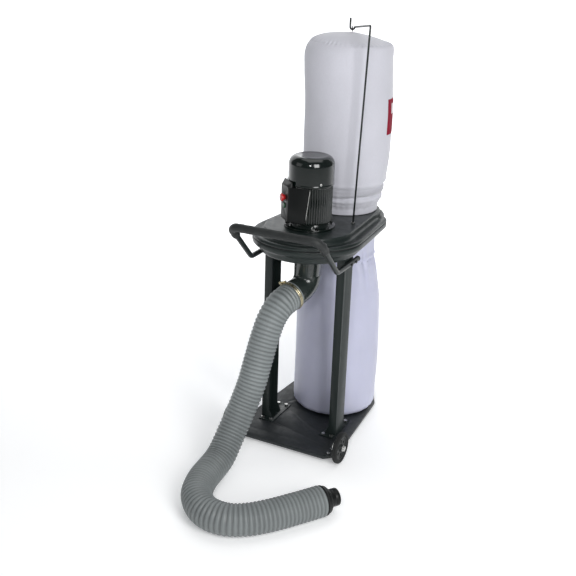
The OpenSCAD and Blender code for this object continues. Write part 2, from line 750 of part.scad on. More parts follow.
module handle_bolts() color(zinc) both_sides() for (y = handle_bolt_y)
    translate([0, y, arm_z]) rotate([0, 90, 0]) {
        translate([0, 0, leg_outer - 12]) cylinder(r = 3, h = 12 + 2 * handle_r + 1);
        translate([0, 0, leg_outer + 2 * handle_r + 0.5]) hex(10, 4);
        translate([0, 0, leg_outer - sheet - 5]) hex(10, 5);
    }

// ---- hanger rod ----

hook_dir = [cos(hook_azimuth), sin(hook_azimuth), 0];
rod_route = concat(
    [rod_foot, rod_corner - [0, 0, 5], rod_corner + 5 * unit(rod_hook - rod_corner),
     rod_hook - 5 * unit(rod_hook - rod_corner)],
    [for (a = [0:30:180]) rod_hook + hook_r * (1 - cos(a)) * hook_dir
        - [0, 0, hook_r * sin(a)]],
    [rod_hook + 2 * hook_r * hook_dir + [0, 0, hook_up]]
);
module hanger_rod() color(black)
    sweep(rod_route, headings(rod_route), rod_r, 12, [0.2, -1, 0.25]);
module hanger_nuts() color(zinc) translate([rod_foot[0], rod_foot[1], 0])
    for (z = [deck_top, deck_top - sheet - 5]) translate([0, 0, z]) difference() {
        hex(13, 5);
        translate([0, 0, -1]) cylinder(r = rod_r + 0.9, h = 10);
    }

// ---- bags ----

filter_outer = concat(
    [[neck_r + cloth, deck_top + 1], [neck_r + cloth, deck_top + 26], [134, deck_top + 33],
     [143, deck_top + 48], [147, deck_top + 68], [149, deck_top + 90], [155, deck_top + 120],
     [159, deck_top + 150], [filter_r, deck_top + 220], [filter_r, 1200], [filter_r - 2, 1300]],
    arc(filter_r - 74, filter_top - 74, 70, 10, 80, 7),
    [[0, filter_top]]
);
function shrink(points, t) = [for (p = points) [max(0, p[0] - t), p[1] - (p[1] > 1420 ? t : 0)]];
module filter_bag() color([0.85, 0.85, 0.9]) at_bag() difference() {
    rotate_extrude($fn = 72) polygon(concat([[0, deck_top + 1]], filter_outer));
    difference() {
        rotate_extrude($fn = 72)
            polygon(concat([[0, deck_top + 1]], shrink(filter_outer, cloth)));
        translate([0, 0, -1]) cylinder(r = 1, h = 1);
    }
    translate([0, 0, deck_top - 2]) cylinder(r = neck_r, h = 20);
}

// Cloth loop sewn to the top of the bag; the hook passes through it.
hook_low = rod_hook + hook_r * hook_dir - [0, 0, hook_r];
tab_w = 14;
tab_h = hook_low[2] - filter_top + rod_r + 7;
module bag_tab() color([0.15, 0.15, 0.16]) translate([hook_low[0], hook_low[1], filter_top])
    rotate([0, 0, hook_azimuth]) difference() {
        translate([-1.5, -tab_w / 2, 0]) cube([3, tab_w, tab_h]);
        translate([-2, -tab_w / 2 + 3, 1.5]) cube([4, tab_w - 6, tab_h - 4.5]);
    }

label_w_angle = 48;
label_z = 1132;
label_h = 130;
module bag_label() color([0.75, 0.1, 0.15]) at_bag(label_z)
    rotate_extrude(angle = label_w_angle) translate([filter_r + 0.2, 0]) square([1, label_h]);

// Collection bag: rows of height and outer radius. Below the neck the filled bag leans forwards.
collection_rows = [
    [base_top + 0.2, sack_r - 20], [60, sack_r - 4], [120, sack_r], [240, sack_r], [360, sack_r],
    [470, sack_r], [520, 162], [590, 150], [640, 139], [690, 130], [712, neck_r + cloth],
    [738, neck_r + cloth]
];
sack_sides = 48;
sack_lean = [24, -50];
function sack_shift(z) = let (t = max(0, min(1, (600 - z) / 560))) sack_lean * (t * t * (3 - 2 * t));
function level_ring(z, r) =
    ring_points([sack_shift(z)[0], sack_shift(z)[1], z], [0, 0, 1], r, sack_sides, [0, 1, 0]);
collection_rings = concat(
    [for (row = collection_rows) level_ring(row[0], row[1])],
    [for (i = [len(collection_rows) - 1:-1:1])
        level_ring(collection_rows[i][0], collection_rows[i][1] - cloth)],
    [level_ring(base_top + 0.2 + cloth, sack_r - 20)]
);
module collection_bag() color([0.8, 0.8, 0.92]) at_bag() skin(collection_rings, sack_sides);

// ---- straps with over-centre levers, hinged on an upright pin ----

strap_in = neck_r + cloth + 0.3;
hinge_x = strap_in + 3.6;
hinge_y = 12;
module strap(z) at_bag(z) {
    rotate([0, 0, lever_angle]) difference() {
        ring(strap_in + 1.2, strap_in, strap_h);
        translate([100, -10, -1]) cube([60, 18, strap_h + 2]);
        translate([100, 5, 3]) cube([60, 12, strap_h - 6]);
    }
    rotate([0, 0, lever_angle]) {
        translate([hinge_x, hinge_y, 0]) {
            for (h = [0, strap_h - 3]) translate([0, 0, h]) {
                cylinder(r = 3.2, h = 3);
                translate([-3.9, -2, 0]) cube([3.9, 4, 3]);
            }
            cylinder(r = 1.25, h = strap_h);
        }
        translate([strap_in + 0.05, -13, 0]) cube([2.6, 4, strap_h]);
    }
}
module lever(z) at_bag(z) rotate([0, 0, lever_angle]) translate([hinge_x, hinge_y, 3.4])
    difference() {
        union() {
            cylinder(r = 3, h = strap_h - 6.8);
            translate([1, -44, 0]) cube([2, 44, strap_h - 6.8]);
            translate([1, -46, 0]) cube([6, 2, strap_h - 6.8]);
        }
        translate([0, 0, -1]) cylinder(r = 1.3, h = strap_h);
    }
module filter_strap() color(zinc) strap(strap_z_up);
module filter_lever() color(zinc) lever(strap_z_up);
module sack_strap() color(zinc) strap(strap_z_down);
module sack_lever() color(zinc) lever(strap_z_down);

// ---- hose ----

// Smooth curve through the route points.
steps = 4;
last = len(hose_points) - 1;
function point(i) = i < 0 ? hose_points[0] - 40 * exit_dir
    : i > last ? hose_points[last] + 60 * end_dir : hose_points[i];
function smooth(a, b, c, d, t) = 0.5 * (2 * b + (c - a) * t + (2 * a - 5 * b + 4 * c - d) * t * t
    + (3 * b - a - 3 * c + d) * t * t * t);
route = concat(
    [for (i = [0:last - 1], k = [0:steps - 1])
        smooth(point(i - 1), point(i), point(i + 1), point(i + 2), k / steps)],
    [hose_points[last]]
);
hose_headings = concat([exit_dir], [for (i = [1:len(route) - 2]) unit(route[i + 1] - route[i - 1])],
    [end_dir]);
module hose() color([0.5, 0.52, 0.52])
    sweep(route, hose_headings, hose_r, hose_sides, [0.3, 0.1, 1]);

module hose_sleeve() color([0.5, 0.52, 0.52]) spigot_frame()
    translate([0, 0, spigot_len - sleeve_len]) ring(hose_r + 1, pipe_r + 0.1, sleeve_len);

module hose_clamp() color([0.7, 0.62, 0.4]) spigot_frame()
    translate([0, 0, spigot_len - 22]) difference() {
        union() {
            ring(hose_r + 2.4, hose_r + 1.1, 13);
            rotate([0, 0, 120]) translate([hose_r + 1.8, -12, 1]) cube([11, 24, 11]);
        }
        rotate([0, 0, 120]) translate([hose_r + 7.5, -20, 6.5]) rotate([-90, 0, 0])
            cylinder(r = 3, h = 40);
    }

module end_frame() translate(hose_end) rotate([0, 0, atan2(end_dir[1], end_dir[0])])
    rotate([0, 90, 0]) children();
module hose_cuff() color(black) end_frame() ring(cuff_r, nozzle_r - nozzle_wall, cuff_len);
module hose_nozzle() color(black) end_frame() translate([0, 0, cuff_len]) difference() {
    union() {
        cylinder(r = cuff_r - 8, h = 5);
        cylinder(r = nozzle_r, h = nozzle_len);
    }
    translate([0, 0, -1]) cylinder(r = nozzle_r - nozzle_wall, h = nozzle_len + 2);
}

base_plate();
rear_feet();
foot_screws();
left_leg();
right_leg();
leg_bolts();
wheel_brackets();
wheel_axles();
left_wheel_tyre();
left_wheel_hub();
right_wheel_tyre();
right_wheel_hub();
axle_nuts();
housing_lower();
housing_upper();
housing_seal();
housing_bolts();
inlet_pipe();
inlet_elbow();
inlet_bolts();
impeller();
impeller_nut();
motor_shaft();
rotor_core();
stator_core();
motor_frame();
drive_end_shield();
rear_end_shield();
drive_bearing();
rear_bearing();
cooling_fan();
fan_cowl();
cowl_screws();
motor_bolts();
switch_box();
switch_plate();
switch_block();
start_button();
stop_button();
run_capacitor();
cable_gland();
handle_tube();
handle_grip();
handle_bolts();
hanger_rod();
hanger_nuts();
filter_bag();
bag_tab();
bag_label();
filter_strap();
filter_lever();
collection_bag();
sack_strap();
sack_lever();
hose_sleeve();
hose_clamp();
hose();
hose_cuff();
hose_nozzle();
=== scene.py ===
"""A single-bag workshop dust collector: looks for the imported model.

Everything is in metres in the CAD frame: origin on the floor, +X right, +Y back (bag side), +Z up.
"""
import json
import math
import bmesh
import bpy
from mathutils import Matrix, Vector, noise


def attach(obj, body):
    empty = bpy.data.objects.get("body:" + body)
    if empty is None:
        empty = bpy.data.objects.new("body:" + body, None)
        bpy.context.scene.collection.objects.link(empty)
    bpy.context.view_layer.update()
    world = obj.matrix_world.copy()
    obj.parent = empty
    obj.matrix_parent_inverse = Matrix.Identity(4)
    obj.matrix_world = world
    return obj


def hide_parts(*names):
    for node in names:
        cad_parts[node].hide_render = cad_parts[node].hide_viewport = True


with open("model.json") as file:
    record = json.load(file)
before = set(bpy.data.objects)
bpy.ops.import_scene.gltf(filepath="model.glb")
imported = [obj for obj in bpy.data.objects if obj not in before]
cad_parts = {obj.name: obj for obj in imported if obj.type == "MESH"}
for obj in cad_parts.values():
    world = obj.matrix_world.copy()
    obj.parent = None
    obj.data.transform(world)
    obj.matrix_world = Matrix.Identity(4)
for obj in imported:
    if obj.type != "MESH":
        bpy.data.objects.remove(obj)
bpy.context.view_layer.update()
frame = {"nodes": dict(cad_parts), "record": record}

for imported in bpy.data.materials:
    imported.name = "plain_" + imported.name

MOTOR_Y = -0.093
BAG_Y = 0.207
DECK = 0.832


# ---------------------------------------------------------------- helpers

def mesh_object(name, verts, faces):
    mesh = bpy.data.meshes.new(name)
    mesh.from_pydata([tuple(v) for v in verts], [], faces)
    mesh.validate()
    obj = bpy.data.objects.new(name, mesh)
    bpy.context.scene.collection.objects.link(obj)
    bm = bmesh.new()
    bm.from_mesh(mesh)
    bmesh.ops.recalc_face_normals(bm, faces=bm.faces)
    bm.to_mesh(mesh)
    bm.free()
    for poly in mesh.polygons:
        poly.use_smooth = True
    return obj


def place(obj, material, body="frame", replaces=()):
    obj.data.materials.clear()
    obj.data.materials.append(material)
    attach(obj, body)
    if replaces:
        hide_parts(*replaces)
    return obj


def sharpen(obj, angle=35.0):
    """Smooth faces with sharp edges where two faces meet at more than the angle."""
    mesh = obj.data
    bm = bmesh.new()
    bm.from_mesh(mesh)
    for e in bm.edges:
        e.smooth = len(e.link_faces) == 2 and e.calc_face_angle(0.0) < math.radians(angle)
    for f in bm.faces:
        f.smooth = True
    bm.to_mesh(mesh)
    bm.free()


def loft(rings, closed_ends=(False, False)):
    """Faces and vertices through rings of equal length."""
    n = len(rings[0])
    verts = [p for ring in rings for p in ring]
    faces = []
    for i in range(len(rings) - 1):
        for k in range(n):
            m = (k + 1) % n
            faces.append((i * n + k, i * n + m, (i + 1) * n + m, (i + 1) * n + k))
    if closed_ends[0]:
        faces.append(tuple(range(n - 1, -1, -1)))
    if closed_ends[1]:
        faces.append(tuple((len(rings) - 1) * n + k for k in range(n)))
    return verts, faces


def lathe(profile, centre, axis=Vector((0, 0, 1)), sides=96, wrap=True):
    """A turned shape: profile is (radius, height) round the axis through centre."""
    axis = Vector(axis).normalized()
    ref = Vector((1, 0, 0)) if abs(axis.x) < 0.8 else Vector((0, 1, 0))
    u = axis.cross(ref).normalized()
    v = axis.cross(u)
    rings = []
    for r, h in profile:
        rings.append([Vector(centre) + axis * h
                      + (u * math.cos(2 * math.pi * k / sides)
                         + v * math.sin(2 * math.pi * k / sides)) * max(r, 1e-5)
                      for k in range(sides)])
    if wrap:
        rings.append(rings[0])
    return loft(rings)


def rounded(points, radius, steps=6):
    """A polyline with its corners rounded."""
    pts = [Vector(p) for p in points]
    out = [pts[0]]
    for i in range(1, len(pts) - 1):
        r = radius[i - 1] if isinstance(radius, (list, tuple)) else radius
        a = (pts[i - 1] - pts[i]).normalized()
        b = (pts[i + 1] - pts[i]).normalized()
        half = a.angle(b) / 2
        if r <= 0 or half > math.radians(89):
            out.append(pts[i])
            continue
        cut = r / math.tan(half)
        centre = pts[i] + (a + b).normalized() * (r / math.sin(half))
        start = (pts[i] + a * cut - centre).normalized()
        end = (pts[i] + b * cut - centre).normalized()
        for k in range(steps + 1):
            out.append(centre + start.slerp(end, k / steps) * r)
    out.append(pts[-1])
    return out


def frames(path):
    """Heading and two side directions at each point of a path, carried along without twist."""
    path = [Vector(p) for p in path]
    heads = [(path[min(i + 1, len(path) - 1)] - path[max(i - 1, 0)]).normalized()
             for i in range(len(path))]
    ref = Vector((0.3, 0.1, 1)) if abs(heads[0].z) < 0.9 else Vector((0, 1, 0.2))
    side = heads[0].cross(ref).normalized()
    result = []
    for t in heads:
        side = (side - t * side.dot(t)).normalized()
        result.append((t, side, t.cross(side)))
    return result


def sweep(path, radius, sides=32, ends=(True, True)):
    """A tube along a path. radius is a number or a list with one for each point."""
    rings = []
    for i, (p, (_, a, b)) in enumerate(zip(path, frames(path))):
        r = radius[i] if isinstance(radius, (list, tuple)) else radius
        rings.append([Vector(p) + (a * math.cos(2 * math.pi * k / sides)
                                   + b * math.sin(2 * math.pi * k / sides)) * r
                      for k in range(sides)])
    return loft(rings, ends)


def resample(path, step):
    """Points at an even spacing along a polyline."""
    path = [Vector(p) for p in path]
    total = sum((b - a).length for a, b in zip(path, path[1:]))
    count = max(2, round(total / step))
    out, seg, done = [path[0].copy()], 0, 0.0
    for k in range(1, count):
        want = total * k / count
        while done + (path[seg + 1] - path[seg]).length < want:
            done += (path[seg + 1] - path[seg]).length
            seg += 1
        length = (path[seg + 1] - path[seg]).length
        out.append(path[seg].lerp(path[seg + 1], (want - done) / length))
    out.append(path[-1].copy())
    return out


def bevelled(node, width, material):
    """A copy of a CAD node with its hard edges rounded over, in place of the node."""
    source = frame["nodes"][node]
    mesh = source.data.copy()
    obj = bpy.data.objects.new(node + "_finished", mesh)
    bpy.context.scene.collection.objects.link(obj)
    bm = bmesh.new()
    bm.from_mesh(mesh)
    bmesh.ops.remove_doubles(bm, verts=bm.verts, dist=2e-5)
    bmesh.ops.dissolve_limit(bm, angle_limit=math.radians(0.4), verts=bm.verts, edges=bm.edges)
    bmesh.ops.recalc_face_normals(bm, faces=bm.faces)
    bm.to_mesh(mesh)
    bm.free()
    mod = obj.modifiers.new("Bevel", "BEVEL")
    mod.width = width
    mod.segments = 2
    mod.limit_method = "ANGLE"
    mod.angle_limit = math.radians(32.0)
    mod.harden_normals = True
    mod.miter_outer = "MITER_ARC"
    for poly in mesh.polygons:
        poly.use_smooth = True
    member = next(b for b, ns in frame["record"]["behaviour"]["bodies"].items() if node in ns)
    return place(obj, material, member, (node,))


def fbm(p, scale, octaves=3):
    return noise.fractal(Vector(p) * scale, 1.0, 2.0, octaves)


# ---------------------------------------------------------------- materials

class Nodes:
    """A small wrapper for building a Principled material."""

    def __init__(self, name, color, rough, metallic=0.0):
        self.mat = bpy.data.materials.new(name)
        self.mat.use_nodes = True
        self.tree = self.mat.node_tree
        self.bsdf = self.tree.nodes["Principled BSDF"]
        self.bsdf.inputs["Metallic"].default_value = metallic
        self.bsdf.inputs["Base Color"].default_value = (*color, 1)
        self.bsdf.inputs["Roughness"].default_value = rough
        self.color, self.rough = color, rough
        self.coord = self.tree.nodes.new("ShaderNodeTexCoord")

    def add(self, kind, **values):
        node = self.tree.nodes.new(kind)
        for key, value in values.items():
            if key in node.inputs:
                node.inputs[key].default_value = value
            else:
                setattr(node, key, value)
        return node

    def link(self, a, b):
        self.tree.links.new(a, b)

    def noise(self, scale, detail=4.0, stretch=(1, 1, 1), distortion=0.0):
        mapping = self.add("ShaderNodeMapping")
        mapping.inputs["Scale"].default_value = stretch
        self.link(self.coord.outputs["Object"], mapping.inputs["Vector"])
        n = self.add("ShaderNodeTexNoise", Scale=scale, Detail=detail, Distortion=distortion)
        self.link(mapping.outputs["Vector"], n.inputs["Vector"])
        return n.outputs["Fac"]

    def ramp(self, fac, low, high, a, b):
        """Maps fac from low..high onto a..b, clamped."""
        m = self.add("ShaderNodeMapRange")
        m.inputs["From Min"].default_value = low
        m.inputs["From Max"].default_value = high
        m.inputs["To Min"].default_value = a
        m.inputs["To Max"].default_value = b
        self.link(fac, m.inputs["Value"])
        return m.outputs["Result"]

    def mix(self, fac, a, b):
        m = self.add("ShaderNodeMix", data_type="RGBA")
        if isinstance(fac, (int, float)):
            m.inputs["Factor"].default_value = fac
        else:
            self.link(fac, m.inputs["Factor"])
        for socket, value in ((m.inputs[6], a), (m.inputs[7], b)):
            if isinstance(value, (tuple, list)):
                socket.default_value = (*value, 1) if len(value) == 3 else value
            else:
                self.link(value, socket)
        return m.outputs[2]

    def math(self, op, a, b=0.0):
        m = self.add("ShaderNodeMath", operation=op)
        for socket, value in ((m.inputs[0], a), (m.inputs[1], b)):
            if isinstance(value, (int, float)):
                socket.default_value = value
            else:
                self.link(value, socket)
        return m.outputs[0]

    def base(self, socket):
        self.link(socket, self.bsdf.inputs["Base Color"])

    def roughness(self, socket):
        self.link(socket, self.bsdf.inputs["Roughness"])

    def bump(self, height, strength, distance, below=None):
        b = self.add("ShaderNodeBump", Strength=strength, Distance=distance)
        self.link(height, b.inputs["Height"])
        if below is not None:
            self.link(below, b.inputs["Normal"])
        self.link(b.outputs["Normal"], self.bsdf.inputs["Normal"])
        return b.outputs["Normal"]


def shade(color, k):
    return tuple(min(1.0, c * k) for c in color)


def paint(name, color, rough=0.25, coat=0.4, orange_peel=0.05, dust=0.05, shine=0.5):
    """Sprayed paint: slight orange peel, faint dust and colour drift."""
    n = Nodes(name, color, rough)
    n.bsdf.inputs["Specular IOR Level"].default_value = shine
    n.bsdf.inputs["Coat Weight"].default_value = coat
    n.bsdf.inputs["Coat Roughness"].default_value = 0.08
    drift = n.noise(9.0, 3.0)
    grime = n.noise(38.0, 6.0, distortion=0.6)
    tone = n.mix(n.ramp(drift, 0.3, 0.7, 0.0, 1.0), shade(color, 0.86), shade(color, 1.16))
    dust_and_fold_shade = tuple(c * (1 - dust) + 0.33 * dust for c in color)
    n.base(n.mix(n.ramp(grime, 0.55, 0.8, 0.0, 0.5), tone, dust_and_fold_shade))
    n.roughness(n.ramp(grime, 0.35, 0.75, rough * 0.9, min(1.0, rough * 1.25)))
    n.bump(n.noise(260.0, 2.0), orange_peel, 0.0004)
    return n.mat


def metal(name, color, rough=0.28, brushed=(1, 1, 1), scale=160.0, strength=0.12):
    n = Nodes(name, color, rough, 1.0)
    grain = n.noise(scale, 5.0, brushed)
    tarnish = n.noise(22.0, 5.0, distortion=0.4)
    n.base(n.mix(n.ramp(tarnish, 0.4, 0.75, 0.0, 1.0), color, shade(color, 0.62)))
    n.roughness(n.ramp(grain, 0.3, 0.7, rough * 0.7, min(1.0, rough * 1.5)))
    n.bump(grain, strength, 0.0004)
    return n.mat


def plastic(name, color, rough=0.45, grain=0.2, scale=900.0, coat=0.0, shine=0.5):
    n = Nodes(name, color, rough)
    n.bsdf.inputs["Specular IOR Level"].default_value = shine
    n.bsdf.inputs["Coat Weight"].default_value = coat
    texture = n.noise(scale, 2.0)
    drift = n.noise(14.0, 4.0)
    n.base(n.mix(n.ramp(drift, 0.35, 0.7, 0.0, 1.0), shade(color, 0.9), shade(color, 1.12)))
    n.roughness(n.ramp(drift, 0.3, 0.7, rough * 0.85, min(1.0, rough * 1.2)))
    n.bump(texture, grain, 0.0003)
    return n.mat


def rubber(name, color, rough=0.75):
    n = Nodes(name, color, rough)
    pores = n.noise(650.0, 4.0)
    scuff = n.noise(30.0, 6.0, distortion=0.8)
    n.base(n.mix(n.ramp(scuff, 0.5, 0.8, 0.0, 0.7), color, shade(color, 2.0)))
    n.roughness(n.ramp(scuff, 0.3, 0.8, rough, min(1.0, rough * 1.2)))
    n.bump(pores, 0.35, 0.0005)
    return n.mat


def felt(name, color):
    """Needle-felt filter cloth: fine matted fibres, soft drift of tone, painted shade in the lowest
    fold.
    """
    n = Nodes(name, color, 0.92)
    n.bsdf.inputs["Sheen Weight"].default_value = 0.35
    n.bsdf.inputs["Sheen Roughness"].default_value = 0.5
    fibre = n.noise(1400.0, 3.0, (1, 1, 0.45))
    weave = n.noise(420.0, 3.0, (1, 1, 0.3))
    drift = n.noise(5.0, 4.0)
    soft = n.noise(26.0, 4.0)
    tone = n.mix(n.ramp(drift, 0.3, 0.7, 0.0, 1.0), shade(color, 0.95), shade(color, 1.04))
    coords = n.add("ShaderNodeSeparateXYZ")
    n.link(n.coord.outputs["Object"], coords.inputs["Vector"])
    # painted shade: a band of the cloth about 0.907 to 0.950 m up, darkened to 0.70 of its colour
    # where the low fold turns down
    z = n.math("ADD", coords.outputs["Z"], n.math("MULTIPLY", n.noise(7.0, 2.0), 0.012))
    low, high = n.ramp(z, 0.9065, 0.9125, 0.0, 1.0), n.ramp(z, 0.930, 0.950, 1.0, 0.0)
    dust_and_fold_shade = n.mix(n.math("MULTIPLY", low, high), tone, shade(color, 0.70))
    n.base(n.mix(n.ramp(weave, 0.35, 0.7, 0.0, 0.35), dust_and_fold_shade, shade(color, 0.86)))
    first = n.bump(soft, 0.10, 0.004)
    n.bump(n.math("ADD", fibre, weave), 0.22, 0.0006, first)
    return n.mat


def film(name, color):
    """Thin polythene: slightly glossy, lets some light through, faint stretch marks."""
    n = Nodes(name, color, 0.34)
    n.bsdf.inputs["Subsurface Weight"].default_value = 0.25
    n.bsdf.inputs["Subsurface Radius"].default_value = (0.03, 0.03, 0.04)
    n.bsdf.inputs["Subsurface Scale"].default_value = 0.4
    crease = n.noise(34.0, 6.0, (1, 1, 0.35), 0.8)
    fine = n.noise(190.0, 4.0, (1, 1, 0.5))
    drift = n.noise(4.0, 3.0)
    tone = n.mix(n.ramp(drift, 0.3, 0.7, 0.0, 1.0), shade(color, 0.94), shade(color, 1.05))
    coords = n.add("ShaderNodeSeparateXYZ")
    n.link(n.coord.outputs["Object"], coords.inputs["Vector"])
    # the film turns dark blue along its bottom edge, from 36 mm down to 31 mm above the floor
    bottom_edge_band = n.ramp(coords.outputs["Z"], 0.031, 0.036, 1.0, 0.0)
    low = n.mix(n.math("MULTIPLY", bottom_edge_band, 0.85), tone, (0.05, 0.055, 0.16))
    n.base(low)
    n.roughness(n.ramp(crease, 0.3, 0.7, 0.28, 0.46))
    first = n.bump(crease, 0.16, 0.004)
    n.bump(fine, 0.08, 0.0008, first)
    return n.mat


GREEN_GREY = paint("frame_paint", (0.0105, 0.0165, 0.0155), 0.36, 0.08, 0.04, 0.01, 0.34)
SLATE = paint("slate_paint", (0.007, 0.010, 0.012), 0.52, 0.04, 0.05, 0.01)
BLACK_PAINT = paint("black_paint", (0.012, 0.016, 0.0155), 0.34, 0.12, 0.05, 0.01, 0.4)
MOTOR = paint("motor_paint", (0.003, 0.006, 0.005), 0.14, 0.35, 0.02, 0.004)
PIPE = paint("pipe_paint", (0.020, 0.027, 0.025), 0.20, 0.4, 0.04, 0.01)
ZINC = metal("zinc_steel", (0.66, 0.66, 0.64), 0.26)
BLACK_STEEL = metal("black_steel", (0.055, 0.057, 0.058), 0.38)
YELLOW_ZINC = metal("yellow_zinc", (0.63, 0.56, 0.38), 0.30)
BARE = metal("bare_steel", (0.60, 0.60, 0.62), 0.22, (1, 1, 12))
LAMINATION = metal("lamination_steel", (0.36, 0.36, 0.37), 0.42, (1, 1, 30), 260.0, 0.4)
COPPER = plastic("copper_winding", (0.45, 0.20, 0.08), 0.3, 0.5, 700.0, 0.3)
ALUMINIUM = metal("bare_aluminium", (0.72, 0.72, 0.74), 0.42, (1, 1, 1), 300.0, 0.3)
TYRE = rubber("tyre", (0.004, 0.005, 0.005), 0.7)
HUB = plastic("hub_plastic", (0.007, 0.009, 0.009), 0.5, 0.25)
RUBBER = rubber("rubber", (0.02, 0.02, 0.021))
FOAM = rubber("foam_rubber", (0.011, 0.013, 0.013), 0.55)
BLACK_PLASTIC = plastic("black_plastic", (0.005, 0.006, 0.006), 0.42, 0.15, shine=0.25)
GREEN_PLASTIC = plastic("green_plastic", (0.008, 0.075, 0.030), 0.35, 0.05, coat=0.1)
RED_PLASTIC = plastic("red_plastic", (0.40, 0.014, 0.016), 0.28, 0.05, coat=0.3)
PALE_PLASTIC = plastic("pale_plastic", (0.8, 0.8, 0.78), 0.4)
CLOTH = felt("filter_cloth", (0.56, 0.56, 0.615))
WEBBING = plastic("black_webbing", (0.03, 0.03, 0.032), 0.85, 0.6, 500.0)
LABEL_RED = plastic("red_label", (0.24, 0.006, 0.024), 0.7, 0.3, 700.0, shine=0.15)
LABEL_WHITE = plastic("label_white", (0.78, 0.72, 0.75), 0.55, 0.3, 700.0)
SACK = film("sack_plastic", (0.54, 0.55, 0.69))


def hose_plastic(name, color):
    """Grey flexible plastic, with painted shade down in the grooves and painted shade low down towards
    the floor.
    """
    n = Nodes(name, color, 0.50)
    depth = n.add("ShaderNodeAttribute", attribute_name="groove")
    drift = n.noise(11.0, 4.0)
    scuff = n.noise(90.0, 5.0, distortion=0.5)
    tone = n.mix(n.ramp(drift, 0.3, 0.7, 0.0, 1.0), shade(color, 0.90), shade(color, 1.08))
    worn = n.mix(n.ramp(scuff, 0.55, 0.8, 0.0, 0.35), tone, shade(color, 1.35))
    coords = n.add("ShaderNodeSeparateXYZ")
    n.link(n.coord.outputs["Object"], coords.inputs["Vector"])
    # painted shade: the hose darkened towards the floor, fading in from 0.30 m down to 0.08 m
    floor_painted_shade = n.mix(n.ramp(coords.outputs["Z"], 0.08, 0.30, 0.34, 0.0), worn, shade(color, 0.30))
    # painted shade down in the grooves, darker with the groove depth
    n.base(n.mix(n.ramp(depth.outputs["Fac"], 0.15, 0.9, 0.0, 0.48), floor_painted_shade, shade(color, 0.30)))
    n.roughness(n.ramp(scuff, 0.3, 0.8, 0.42, 0.60))
    n.bump(n.noise(500.0, 2.0), 0.2, 0.0003)
    return n.mat


HOSE = hose_plastic("hose_plastic", (0.235, 0.258, 0.260))

SLOT_MATERIALS = {m.name: m for m in (
    GREEN_GREY, SLATE, BLACK_PAINT, MOTOR, PIPE, ZINC, BLACK_STEEL, YELLOW_ZINC, BARE, LAMINATION,
    COPPER, ALUMINIUM, TYRE, HUB, RUBBER, FOAM, BLACK_PLASTIC, GREEN_PLASTIC, RED_PLASTIC,
    PALE_PLASTIC, CLOTH, WEBBING, LABEL_RED, SACK, HOSE)}

for part in frame["record"]["subparts"]:
    node = frame["nodes"][part["node"]]
    node.data.materials.clear()
    node.data.materials.append(SLOT_MATERIALS[part["material_slot"]])


# ---------------------------------------------------------------- camera

yaw, pitch, roll = math.radians(26.4), math.radians(21.0), math.radians(1.8)
right = Vector((math.cos(yaw), math.sin(yaw), 0))
ahead = Vector((-math.sin(yaw) * math.cos(pitch), math.cos(yaw) * math.cos(pitch),
                -math.sin(pitch)))
above = right.cross(ahead)
cam_x = right * math.cos(roll) + above * math.sin(roll)
cam_y = above * math.cos(roll) - right * math.sin(roll)
camera = bpy.data.objects.new("Camera", bpy.data.cameras.new("Camera"))
camera.matrix_world = Matrix((
    (cam_x.x, cam_y.x, -ahead.x, 1.3179), (cam_x.y, cam_y.y, -ahead.y, -2.9056),
    (cam_x.z, cam_y.z, -ahead.z, 1.7803), (0, 0, 0, 1)))
camera.data.lens = 56.14
camera.data.sensor_width = 36
camera.data.clip_end = 60
bpy.context.scene.collection.objects.link(camera)
bpy.context.scene.camera = camera


# ---------------------------------------------------------------- hose

elbow_bend, elbow_turn = math.radians(75), math.radians(15)
ELBOW_R, SPIGOT = 0.056, 0.064
forward = ELBOW_R * (1 - math.cos(elbow_bend)) + SPIGOT * math.sin(elbow_bend)
drop = ELBOW_R * math.sin(elbow_bend) + SPIGOT * math.cos(elbow_bend)
exit_point = Vector((-math.sin(elbow_turn) * forward, MOTOR_Y - math.cos(elbow_turn) * forward,
                     0.649 - drop))
exit_dir = Vector((-math.sin(elbow_turn) * math.sin(elbow_bend),
                   -math.cos(elbow_turn) * math.sin(elbow_bend), -math.cos(elbow_bend)))
hose_points = [exit_point] + [Vector(p) / 1000 for p in (
    (-38, -240, 562), (-50, -280, 518), (-60, -312, 448), (-68, -340, 374), (-76, -368, 298),
    (-92, -406, 214), (-106, -464, 128), (-108, -530, 72), (-108, -604, 54), (-96, -680, 54),
    (-64, -756, 54), (0, -812, 54), (76, -822, 54), (140, -792, 54), (200, -732, 54),
    (260, -650, 54), (310, -577, 54))]
end_dir = (hose_points[-1] - hose_points[-2]).normalized()


def catmull(points, before, after, steps):
    pts = [before] + list(points) + [after]
    out = []
    for i in range(1, len(pts) - 2):
        a, b, c, d = pts[i - 1], pts[i], pts[i + 1], pts[i + 2]
        for k in range(steps):
            t = k / steps
            out.append(0.5 * (2 * b + (c - a) * t + (2 * a - 5 * b + 4 * c - d) * t * t
                              + (3 * b - a - 3 * c + d) * t ** 3))
    out.append(pts[-2])
    return out


